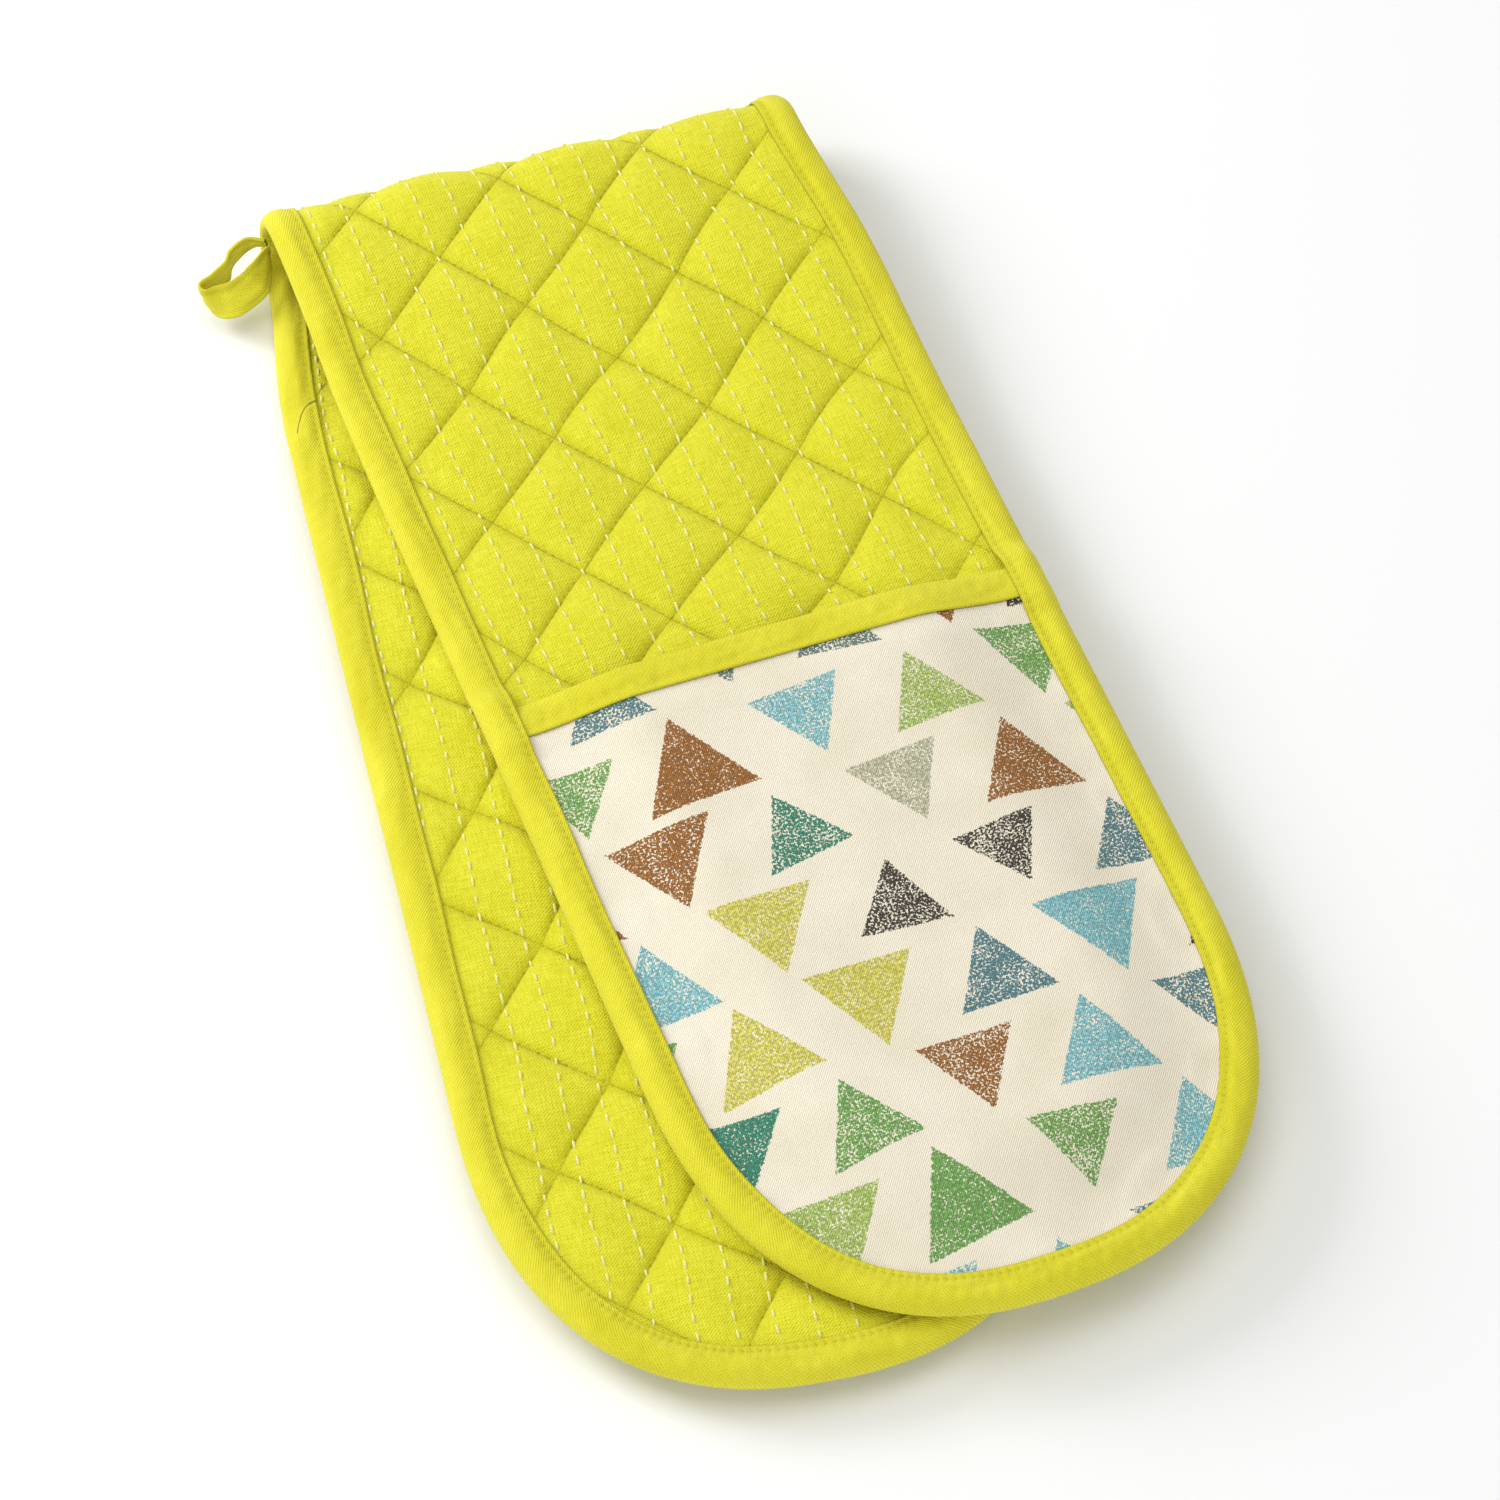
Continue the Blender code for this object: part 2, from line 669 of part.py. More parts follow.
make_panel("fold", fold_plan(), fold_axis)
make_object("fold_left_binding", fold_binding(-1), lime_twill, fold_axis)
make_object("fold_right_binding", fold_binding(1), lime_twill, fold_axis)
make_object("hanging_loop", hanging_loop(loop_pivot()), lime_twill, loop_axis)
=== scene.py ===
"""Double oven glove: lime quilted cotton, printed hand pockets, twill tape and a hanging loop."""

import json
from math import cos, pi, radians, sin

import bmesh
import bpy
import numpy as np
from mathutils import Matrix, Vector


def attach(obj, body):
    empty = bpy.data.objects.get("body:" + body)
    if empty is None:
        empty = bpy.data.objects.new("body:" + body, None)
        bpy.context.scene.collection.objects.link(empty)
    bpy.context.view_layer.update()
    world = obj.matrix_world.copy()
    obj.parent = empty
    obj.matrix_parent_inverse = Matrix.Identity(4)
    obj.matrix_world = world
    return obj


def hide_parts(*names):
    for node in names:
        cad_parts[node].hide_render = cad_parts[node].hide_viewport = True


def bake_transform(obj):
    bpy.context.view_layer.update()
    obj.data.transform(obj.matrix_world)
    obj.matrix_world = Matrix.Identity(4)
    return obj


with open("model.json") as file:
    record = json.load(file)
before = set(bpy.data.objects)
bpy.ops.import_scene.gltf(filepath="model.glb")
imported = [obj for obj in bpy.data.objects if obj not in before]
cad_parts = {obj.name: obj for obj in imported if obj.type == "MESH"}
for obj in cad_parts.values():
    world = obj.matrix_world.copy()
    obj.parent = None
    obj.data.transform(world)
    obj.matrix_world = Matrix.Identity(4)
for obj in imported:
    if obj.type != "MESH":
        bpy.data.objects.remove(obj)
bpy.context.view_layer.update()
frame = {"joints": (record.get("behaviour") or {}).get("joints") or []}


# Quilted strip, one panel for each half.
# Two faces of lime slub cotton with wadding between them, sewn through in
# diamonds. The strip is one length that bends round the fold, so each half's
# panel runs to the top of the bend and meets the other there.

PLACES = {joint["name"]: joint["pos_m"] for joint in frame["joints"]}
LOOP_PIVOT = np.array(PLACES["loop_hinge"])
FOLD_Y = LOOP_PIVOT[1]
MIDDLE_HEIGHT = LOOP_PIVOT[2]

HALF_WIDTH = 0.090
HALF_LENGTH = 0.450
END_DEPTH = 0.107
END_START = HALF_LENGTH - END_DEPTH
END_ROUNDNESS = 2.33
LEAST_SHARE = 1e-4
SPLAY = radians(4.8)
FOLD_INNER_RADIUS = 0.008
FOLD_SETTLE_LENGTH = 0.120
HALF_GAP = 0.00015
LAYER_GAP = 0.0003

PANEL = 0.0064
PANEL_EDGE = 0.0032
EDGE_LOW = (PANEL - PANEL_EDGE) / 2
EDGE_HIGH = (PANEL + PANEL_EDGE) / 2
FOLD_RADIUS = FOLD_INNER_RADIUS + PANEL / 2
FOLD_ARC = FOLD_RADIUS * pi / 2
EDGE_TAPE_WIDTH = 0.0115
FLAT_BAND = EDGE_TAPE_WIDTH + 2 * LAYER_GAP
PANEL_RAMP = 0.010
CLOTH_INSET = 0.005

DIAMOND_SIDE_A = 0.0368
DIAMOND_SIDE_B = 0.0334
DIAMOND_TURN_A = radians(-38)
DIAMOND_TURN_B = radians(54)
DIAMOND_A = DIAMOND_SIDE_A * np.array([cos(DIAMOND_TURN_A), sin(DIAMOND_TURN_A)])
DIAMOND_B = DIAMOND_SIDE_B * np.array([cos(DIAMOND_TURN_B), sin(DIAMOND_TURN_B)])
DIAMOND_START = np.array([-0.0122, 0.0148])
DIAMOND_BASIS = np.linalg.inv(np.array([DIAMOND_A, DIAMOND_B]).T)
DIAMOND_REACH = 17
DIAMOND_CELLS = 22
EVEN_CELLS = 0.55
CROWDED_CELLS = 0.45

OUTER_SINK = 0.0030
INNER_SINK = 0.0036
SEAM_SHARPNESS = 0.50
SEAM_WANDER = 0.0011
WANDER_WAVE = 0.070
WANDER_FROM = 0.020
WANDER_RUN = 0.030
PUCKER_DEPTH = 0.00018
PUCKER_PITCH = 0.0058
PUCKER_START = 0.0008
PUCKER_REACH = 0.0035
PUCKER_DRIFT = 2.5
PUCKER_DRIFT_WAVE = 0.030
DRAPE_DEPTH = 0.00022
DRAPE_WAVE = 0.045

ROW_PITCH = 0.0112
ROW_FIRST = -0.0748
ROW_FIRST_AT = 0.080
ROW_LEAN = 0.011
ROW_STRAY = 0.0007
ROW_STRAY_WAVE = 0.050
ROWS_ALIKE = 0.3

FOLD_WAIST = 0.0030
WAIST_LENGTH = 0.070
FOLD_SWELL = 0.0020
FOLD_SWELL_AT = -0.045
FOLD_SWELL_WIDTH = 0.035
UPPER_SET = 0.0012
LOWER_SET = -0.0019
SET_LENGTH = 0.050
LOWER_SWAY = 0.0070
LOWER_SLACK = 0.0028
SWAY_LENGTH = 0.40

FOLD_OVERLAP = 0.004
MEETING_ROW = 0.0004
CUT_TOLERANCE = 1e-6
SHARP_EDGE = radians(55)


def smooth(x):
    """Eased step: 0 below 0, 1 above 1, level at both ends."""
    x = np.clip(x, 0, 1)
    return x * x * (3 - 2 * x)


def ripple(x, y, length, seed):
    """Nine waves of about that length in random directions, summed; mostly between -1 and 1."""
    random = np.random.default_rng(seed)
    total = np.zeros(np.broadcast(x, y).shape)
    for turn, phase, stretch in random.uniform(0, 1, (9, 3)):
        wave = 2 * pi / (length * (0.7 + 0.8 * stretch))
        total += np.sin(wave * (x * cos(2 * pi * turn) + y * sin(2 * pi * turn)) + 2 * pi * phase)
    return total / 3.2


def laid(x, beyond, lower):
    """How soft cloth comes to lie: drawn in beside the fold, the halves a little off square.

    The width shrinks by the waist at the fold and comes back within the waist's
    length. Each half shifts by its set, and the lower one sways along its length.
    """
    drawn = 1 - FOLD_WAIST / HALF_WIDTH * (1 - smooth(beyond / WAIST_LENGTH))
    set_off = smooth(beyond / SET_LENGTH) * np.where(lower, LOWER_SET, UPPER_SET)
    swung = smooth(beyond / SWAY_LENGTH) * lower
    return x * drawn + set_off + LOWER_SWAY * swung, beyond + LOWER_SLACK * swung


def place(u, s, height):
    """World places of flat points: u across, s along, height off the inner face.

    The strip turns by the splay, bends half a turn round the fold, and the two
    halves then settle together over the settle length. The fold swells most
    left of its middle.
    """
    x = u * cos(SPLAY) + s * sin(SPLAY)
    t = s * cos(SPLAY) - u * sin(SPLAY)
    bend = np.clip(t / FOLD_ARC, -1, 1) * pi / 2
    beyond = np.maximum(np.abs(t) - FOLD_ARC, 0)
    settled = smooth(beyond / FOLD_SETTLE_LENGTH)
    off = FOLD_INNER_RADIUS + (HALF_GAP - FOLD_INNER_RADIUS) * settled + height
    swell = FOLD_SWELL * np.exp(-((x - FOLD_SWELL_AT) / FOLD_SWELL_WIDTH) ** 2) * np.cos(bend)
    x, beyond = laid(x, beyond, t < 0)
    y = FOLD_Y - beyond + (off + swell) * np.cos(bend)
    return np.stack([x, y, MIDDLE_HEIGHT + off * np.sin(bend)], -1)


def edge_distance(u, s):
    """How far in from the strip's edge a flat point lies, its ends being superellipses.

    The point's share of the way to the edge is the superellipse's own sum, and
    the radius there is a mean of half the width and the end's depth. A least
    share gives the middle line a radius too.
    """
    along = np.maximum(np.abs(s) - END_START, 0)
    across_part = np.maximum(np.abs(u) / HALF_WIDTH, LEAST_SHARE) ** END_ROUNDNESS
    along_part = (along / END_DEPTH) ** END_ROUNDNESS
    total = across_part + along_part
    radius = (HALF_WIDTH * across_part + END_DEPTH * along_part) / total
    return (1 - total ** (1 / END_ROUNDNESS)) * radius


def seam_wander(u, s):
    """How far the quilting strays from its straight lines, and none at the fold's top."""
    away = SEAM_WANDER * smooth((np.abs(s) - WANDER_FROM) / WANDER_RUN)
    return away * ripple(u, s, WANDER_WAVE, 3), away * ripple(u, s, WANDER_WAVE, 4)


def diamond_place(u, s):
    """Where a flat point lies in the quilting: whole numbers are seams."""
    across, along = seam_wander(u, s)
    flat = np.stack([u - across - DIAMOND_START[0], s - along - DIAMOND_START[1]])
    return np.tensordot(DIAMOND_BASIS, flat, 1)


def seam_depth(u, s):
    """1 on a quilting seam, falling fast to 0 in the middle of a diamond.

    It is 1 less a power of the product of two sines, each 0 on its own seams.
    """
    a, b = diamond_place(u, s)
    return 1 - np.abs(np.sin(pi * a) * np.sin(pi * b)) ** SEAM_SHARPNESS


def puckers(u, s):
    """Short folds that stand square to the seams and die out beside them.

    Each is a wave along its seam that drifts a little, is 0 on the seam itself,
    and fades within the pucker's reach.
    """
    a, b = diamond_place(u, s)
    total = 0
    for near, far, side, run, seed in ((a, b, DIAMOND_SIDE_A, DIAMOND_SIDE_B, 5),
                                       (b, a, DIAMOND_SIDE_B, DIAMOND_SIDE_A, 6)):
        gap = np.abs(near - np.round(near)) * side
        drift = PUCKER_DRIFT * ripple(u, s, PUCKER_DRIFT_WAVE, seed)
        wave = np.sin(2 * pi * far * run / PUCKER_PITCH + drift)
        total = total + wave * np.exp(-gap / PUCKER_REACH) * (1 - np.exp(-gap / PUCKER_START))
    return total


def row_number(u, s):
    """Which row of running stitch a flat point is on: whole numbers are rows."""
    stray = ROW_STRAY * ripple(s, u * ROWS_ALIKE, ROW_STRAY_WAVE, 41)
    row = u - ROW_LEAN * (s - ROW_FIRST_AT) - stray
    return (row - ROW_FIRST) / ROW_PITCH


def row_place(number, s):
    """Where across the strip a row runs, found from its number by three corrections."""
    u = ROW_FIRST + number * ROW_PITCH
    for _ in range(3):
        u = u - (row_number(u, s) - number) * ROW_PITCH
    return u


def panel_levels(u, s):
    """Heights of the inner face and of the outer face.

    Both start level under the edge tape, ease to the full panel, and sink at the
    seams. Puckers move both. The outer face also drapes between its seams.
    """
    full = smooth((edge_distance(u, s) - FLAT_BAND) / PANEL_RAMP)
    seam = seam_depth(u, s)
    fold = PUCKER_DEPTH * puckers(u, s)
    drape = DRAPE_DEPTH * ripple(u, s, DRAPE_WAVE, 7) * (1 - seam)
    low = EDGE_LOW + (INNER_SINK * seam - EDGE_LOW) * full + fold - 0.5 * np.abs(fold)
    high = EDGE_HIGH + (PANEL - OUTER_SINK * seam - EDGE_HIGH + drape) * full + fold
    return np.maximum(low, 0), high


def eased_steps(first, last):
    """Grid lines that crowd towards each seam, from one whole number to another."""
    share = np.arange(DIAMOND_CELLS) / DIAMOND_CELLS
    crowded = EVEN_CELLS * share + CROWDED_CELLS * (1 - np.cos(pi * share)) / 2
    return np.append((np.arange(first, last)[:, None] + crowded).ravel(), last)


def quilted_plan(half):
    """Flat places and faces of one half's cloth, in rows that follow its diamonds.

    The rows are cut at the top of the fold, and once more just beside it, so
    that both halves have the same slope where they meet.
    """
    steps = eased_steps(-DIAMOND_REACH, DIAMOND_REACH)
    a, b = np.meshgrid(steps, steps, indexing="ij")
    u = DIAMOND_START[0] + a * DIAMOND_A[0] + b * DIAMOND_B[0]
    s = DIAMOND_START[1] + a * DIAMOND_A[1] + b * DIAMOND_B[1]
    stray = seam_wander(u, s)
    u, s = u + stray[0], s + stray[1]
    t = half * (s * cos(SPLAY) - u * sin(SPLAY))
    inside = (edge_distance(u, s) > CLOTH_INSET) & (t > -FOLD_OVERLAP)
    keep = inside[:-1, :-1] & inside[1:, :-1] & inside[1:, 1:] & inside[:-1, 1:]
    number = np.arange(a.size).reshape(a.shape)
    faces = np.stack([number[:-1, :-1], number[1:, :-1], number[1:, 1:], number[:-1, 1:]], -1)[keep]
    used, faces = np.unique(faces, return_inverse=True)
    flat = np.stack([u.ravel()[used], s.ravel()[used], np.zeros(len(used))], 1)
    plan = bpy.data.meshes.new("plan")
    plan.from_pydata(flat.tolist(), [], faces.reshape(-1, 4).tolist())
    cut = bmesh.new()
    cut.from_mesh(plan)
    bpy.data.meshes.remove(plan)
    across_fold = Vector((-sin(SPLAY), cos(SPLAY), 0)) * half
    for away, clear in ((0, True), (MEETING_ROW, False)):
        geometry = cut.verts[:] + cut.edges[:] + cut.faces[:]
        bmesh.ops.bisect_plane(cut, geom=geometry, dist=CUT_TOLERANCE, plane_co=across_fold * away,
                               plane_no=across_fold, clear_inner=clear)
    cut.verts.index_update()
    flat = np.array([v.co[:2] for v in cut.verts])
    faces = [[v.index for v in face.verts] for face in cut.faces]
    cut.free()
    return flat, faces


def new_piece(name, verts, faces, flat, material):
    """An object from its vertices and faces, with the cloth's own flat places as its UV map."""
    mesh = bpy.data.meshes.new(name)
    mesh.from_pydata(np.asarray(verts, float).tolist(), [], faces)
    corner = np.empty(len(mesh.loops), dtype=int)
    mesh.loops.foreach_get("vertex_index", corner)
    layer = mesh.uv_layers.new(name="cloth", do_init=False)
    layer.uv.foreach_set("vector", np.asarray(flat, np.float32)[corner].ravel())
    mesh.shade_smooth()
    mesh.set_sharp_from_angle(angle=SHARP_EDGE)
    mesh.materials.append(material)
    piece = bpy.data.objects.new(name, mesh)
    bpy.context.collection.objects.link(piece)
    return piece


def padded_piece(name, plan, levels, material):
    """A closed form: the plan at its lower level and at its upper one, and a wall round both."""
    flat, faces = plan
    low, high = levels(flat[:, 0], flat[:, 1])
    count = len(flat)
    verts = np.concatenate([place(flat[:, 0], flat[:, 1], low), place(flat[:, 0], flat[:, 1], high)])
    edges = {(a, b) for face in faces for a, b in zip(face, face[1:] + face[:1])}
    walls = [[b, a, a + count, b + count] for a, b in sorted(edges) if (b, a) not in edges]
    skins = [list(face) for face in faces] + [[i + count for i in reversed(face)] for face in faces]
    return new_piece(name, verts, skins + walls, np.concatenate([flat, flat]), material)


def point_values(piece, name, values):
    """Stores one number for each vertex, for the material to read."""
    attribute = piece.data.attributes.new(name, "FLOAT", "POINT")
    attribute.data.foreach_set("value", np.asarray(values, np.float32))


def linear_colour(red, green, blue):
    """Linear colour from screen values, for the dyes, threads and print and for the painted shade colours.
    """
    share = np.array([red, green, blue]) / 255
    linear = np.where(share <= 0.04045, share / 12.92, ((share + 0.055) / 1.055) ** 2.4)
    return (*linear.tolist(), 1)


class Thread:
    """One socket in a material. Sums of threads add the Math nodes that work them out."""

    def __init__(self, tree, socket):
        self.tree = tree
        self.socket = socket

    def node(self, kind, settings, values, output=0):
        """A new node of a kind: its settings first, then its sockets' values or links."""
        made = self.tree.nodes.new(kind)
        for name, value in settings.items():
            if name == "stops":
                for spare in made.color_ramp.elements[1:]:
                    made.color_ramp.elements.remove(spare)
                for at, colour in value:
                    element = made.color_ramp.elements.new(at)
                    element.color = colour
                made.color_ramp.elements.remove(made.color_ramp.elements[0])
            elif name == "blending":
                made.color_ramp.interpolation = value
            else:
                setattr(made, name, value)
        for name, value in values.items():
            if isinstance(value, Thread):
                self.tree.links.new(value.socket, made.inputs[name])
            else:
                made.inputs[name].default_value = value
        return Thread(self.tree, made.outputs[output])

    def sum(self, operation, *values):
        """What a Math node makes of the values."""
        return self.node("ShaderNodeMath", {"operation": operation}, dict(enumerate(values)))

    def __add__(self, other):
        return self.sum("ADD", self, other)

    def __radd__(self, other):
        return self.sum("ADD", other, self)

    def __sub__(self, other):
        return self.sum("SUBTRACT", self, other)

    def __rsub__(self, other):
        return self.sum("SUBTRACT", other, self)

    def __mul__(self, other):
        return self.sum("MULTIPLY", self, other)

    def __rmul__(self, other):
        return self.sum("MULTIPLY", other, self)

    def __truediv__(self, other):
        return self.sum("DIVIDE", self, other)

    def wave(self, pitch):
        """A wave between -1 and 1 that repeats each pitch."""
        return self.sum("SINE", self * (2 * pi / pitch))

    def eased(self, start, end):
        """0 before start, 1 after end, eased between."""
        return self.node("ShaderNodeMapRange", {"interpolation_type": "SMOOTHSTEP"},
                         {0: self, 1: start, 2: end, 3: 0.0, 4: 1.0})

    def clamped(self):
        """Kept between 0 and 1."""
        return self.sum("MINIMUM", self.sum("MAXIMUM", self, 0.0), 1.0)

    def from_whole(self):
        """How far a number is from the nearest whole one."""
        return self.sum("PINGPONG", self, 0.5)

    def stored(self, name):
        """A number that the piece holds for each of its vertices."""
        return self.node("ShaderNodeAttribute", {"attribute_name": name}, {}, 2)

    def parts(self):
        """The first two parts of a vector."""
        return (self.node("ShaderNodeSeparateXYZ", {}, {0: self}, 0),
                self.node("ShaderNodeSeparateXYZ", {}, {0: self}, 1))

    def point(self, x, y):
        """A flat point from its two parts."""
        return self.node("ShaderNodeCombineXYZ", {}, {0: x, 1: y})

    def noise(self, at, size, detail=2.0, roughness=0.5):
        """Noise about 0.5 whose lumps are about that size."""
        return self.node("ShaderNodeTexNoise", {"noise_dimensions": "2D"},
                         {"Vector": at, "Scale": 1 / size, "Detail": detail, "Roughness": roughness})

    def mixed(self, first, second):
        """First colour where this thread is 0, second where it is 1."""
        return self.node("ShaderNodeMix", {"data_type": "RGBA"}, {0: self, 6: first, 7: second}, 2)


SHEEN_ROUGHNESS = 0.5
COTTON_SPECULAR = 0.25
SLUB_DRAWN = 0.12
YARN_BEND_SIZE = 0.006


def new_material(name, roughness, sheen):
    """A plain cloth material, its shader, and a thread that holds the cloth's flat places."""
    material = bpy.data.materials.new(name)
    material.use_nodes = True
    tree = material.node_tree
    shader = tree.nodes["Principled BSDF"]
    shader.inputs["Roughness"].default_value = roughness
    shader.inputs["Sheen Weight"].default_value = sheen
    shader.inputs["Sheen Roughness"].default_value = SHEEN_ROUGHNESS
    shader.inputs["Specular IOR Level"].default_value = COTTON_SPECULAR
    return material, shader, Thread(tree, None).node("ShaderNodeUVMap", {"uv_map": "cloth"}, {})


def finish_cloth(thread, shader, colour, height, depth):
    """Joins the colour to the shader, and the height as a bump of that depth."""
    bump = thread.node("ShaderNodeBump", {}, {"Strength": 1.0, "Distance": depth, "Height": height})
    thread.tree.links.new(colour.socket, shader.inputs["Base Color"])
    thread.tree.links.new(bump.socket, shader.inputs["Normal"])


def plain_weave(thread, u, s, pitch):
    """Height of a plain weave: crossing yarns that pass over and under, of uneven thickness.

    It is a wave across times a wave along, plus noise drawn out along each yarn.
    """
    slub = thread.noise(thread.point(u * SLUB_DRAWN, s), pitch * 1.1, 1.0)
    slub_across = thread.noise(thread.point(u, s * SLUB_DRAWN), pitch * 1.1, 1.0)
    bent = thread.noise(thread.point(u, s), YARN_BEND_SIZE, 1.0) * (pitch * 1.2)
    yarns = (u + bent).wave(2 * pitch) * (s + bent).wave(2 * pitch)
    return yarns * 0.5 + (slub - 0.5) * 1.6 + (slub_across - 0.5) * 1.2


WEAVE_PITCH = 0.00056
WEAVE_DEPTH = 0.00016
WEAVE_SHARE = 0.42
CLOUD_SIZE = 0.016
CLOUD_SHARE = 0.45
STREAK_SIZE = 0.001
STREAK_DRAWN = 0.2
STREAK_SHARE = 0.4
QUILTING_PITCH = 0.0029
SEAM_SHADE_WIDTH = 0.0034
SEAM_SHADE_SHARE = 0.32
HOLE_CORE = 0.0002
HOLE_RIM = 0.0008
HOLE_SHADE_SHARE = 0.38
ROW_CREASE_CORE = 0.0001
ROW_CREASE_RIM = 0.0005
ROW_CREASE_SHARE = 0.12
LIME_PALE = linear_colour(238, 235, 66)
LIME_DEEP = linear_colour(209, 204, 4)
# Painted shade colours: in the seam valleys, at needle holes, under lips and in the tape's grooves.
SEAM_SHADE = linear_colour(190, 184, 6)
HOLE_SHADE = linear_colour(150, 142, 4)
ROW_CREASE = linear_colour(244, 242, 130)


def lime_cloth_material():
    """Slub cotton: plain weave, streaks of paler and deeper yarn, painted shade in the seams.

    The stored quilting numbers are whole on a seam, so their distance from a
    whole number paints shade along the seam, and places along it give painted
    shade at the needle's holes.
    """
    material, shader, flat = new_material("lime_cloth", roughness=0.88, sheen=0.12)
    u, s = flat.parts()
    weave = plain_weave(flat, u, s, WEAVE_PITCH)
    cloudy = flat.noise(flat, CLOUD_SIZE, 3.0) - 0.5
    streaks = flat.noise(flat.point(u * STREAK_DRAWN, s), STREAK_SIZE, 1.0)
    streaks = streaks + flat.noise(flat.point(u, s * STREAK_DRAWN), STREAK_SIZE, 1.0) - 1
    worn = 0.5 + cloudy * CLOUD_SHARE + streaks * STREAK_SHARE + weave * WEAVE_SHARE
    colour = worn.clamped().mixed(LIME_DEEP, LIME_PALE)
    from_row = flat.stored("row").from_whole() * ROW_PITCH
    crease = 1 - from_row.eased(ROW_CREASE_CORE, ROW_CREASE_RIM)
    colour = (crease * ROW_CREASE_SHARE).mixed(colour, ROW_CREASE)
    a, b = flat.stored("quilt_a"), flat.stored("quilt_b")
    for near, along, side, run in ((a, b, DIAMOND_SIDE_A, DIAMOND_SIDE_B),
                                   (b, a, DIAMOND_SIDE_B, DIAMOND_SIDE_A)):
        gap = near.from_whole() * side
        from_hole = (along * (run / QUILTING_PITCH)).from_whole() * QUILTING_PITCH
        # Painted shade in the seam's valley, then painted shade at the needle's holes.
        colour = ((1 - gap.eased(0.0, SEAM_SHADE_WIDTH)) * SEAM_SHADE_SHARE).mixed(colour, SEAM_SHADE)
        hole = (1 - gap.eased(HOLE_CORE, HOLE_RIM)) * (1 - from_hole.eased(HOLE_CORE, HOLE_RIM))
        colour = (hole * HOLE_SHADE_SHARE).mixed(colour, HOLE_SHADE)
    finish_cloth(flat, shader, colour, weave, WEAVE_DEPTH)
    return material


lime_cloth = lime_cloth_material()


def bend_with_fold(piece, half):
    """Bakes the piece's transform into its mesh, the same for either half."""
    if half > 0:
        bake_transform(piece)
    else:
        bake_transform(piece)


HALVES = (("lower", -1), ("upper", 1))

for part, half in HALVES:
    plan = quilted_plan(half)
    panel = padded_piece(part + "_quilted_panel", plan, panel_levels, lime_cloth)
    u, s = np.tile(plan[0].T, 2)
    point_values(panel, "row", row_number(u, s))
    for name, values in zip(("quilt_a", "quilt_b"), diamond_place(u, s)):
        point_values(panel, name, values)
    bend_with_fold(panel, half)
    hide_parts(part + "_inner_face", part + "_wadding", part + "_outer_face",
                "fold_inner_face", "fold_wadding", "fold_outer_face")


# Hand pockets.
# Each is a printed cream twill front over thin wadding and a cotton lining. It
# stands off the panel to leave room for the hand, and its sides and round end
# are caught in the edge tape.

POCKET_MOUTH = 0.211
MOUTH_SET = 0.0010
MOUTH_SLANT = 0.0040
MOUTH_TAPE = 0.0007
MOUTH_TAPE_WIDTH = 0.0120
MOUTH_BAND = MOUTH_TAPE_WIDTH + 2 * LAYER_GAP
MOUTH_RAMP = 0.008
MOUTH_LIP = MOUTH_TAPE + LAYER_GAP
POCKET_RAMP = 0.036
HAND_SPACE = 0.0054
LINING = 0.0005
POCKET_FRONT = 0.0033
POCKET_EDGE = 0.0023
POCKET_CELL = 0.0014
POCKET_SLACK = 0.0005
SLACK_WAVE = 0.050
CREASE_DEPTH = 0.0002
CREASE_WAVE = 0.011
CREASES_LONG = 0.6
CREASE_REACH = 0.009


def mouth_at(u, s):
    """How far from the fold a pocket's mouth is. The pocket is sewn on a little aslant."""
    return POCKET_MOUTH - MOUTH_SET + MOUTH_SLANT * np.sign(s) * u / HALF_WIDTH


def past_mouth(u, s):
    """0 under the mouth's tape, rising to 1 a little further in."""
    return smooth((np.abs(s) - mouth_at(u, s) - MOUTH_BAND) / MOUTH_RAMP)


def pocket_plan(half):
    """Flat places and faces of a pocket's cloth, a grid cut to the strip's outline.

    The grid's lines lean as the mouth does, and less and less towards the end.
    """
    start = POCKET_MOUTH + MOUTH_TAPE + LAYER_GAP
    across = np.linspace(-HALF_WIDTH, HALF_WIDTH, round(2 * HALF_WIDTH / POCKET_CELL) + 1)
    along = np.linspace(start, HALF_LENGTH, round((HALF_LENGTH - start) / POCKET_CELL) + 1)
    u, s = np.meshgrid(half * across, half * along, indexing="ij")
    from_end = (HALF_LENGTH - np.abs(s)) / (HALF_LENGTH - POCKET_MOUTH)
    s = s + half * (mouth_at(u, s) - POCKET_MOUTH) * from_end
    inside = edge_distance(u, s) > CLOTH_INSET
    keep = inside[:-1, :-1] & inside[1:, :-1] & inside[1:, 1:] & inside[:-1, 1:]
    number = np.arange(u.size).reshape(u.shape)
    faces = np.stack([number[:-1, :-1], number[1:, :-1], number[1:, 1:], number[:-1, 1:]], -1)[keep]
    used, faces = np.unique(faces, return_inverse=True)
    return np.stack([u.ravel()[used], s.ravel()[used]], 1), faces.reshape(-1, 4).tolist()


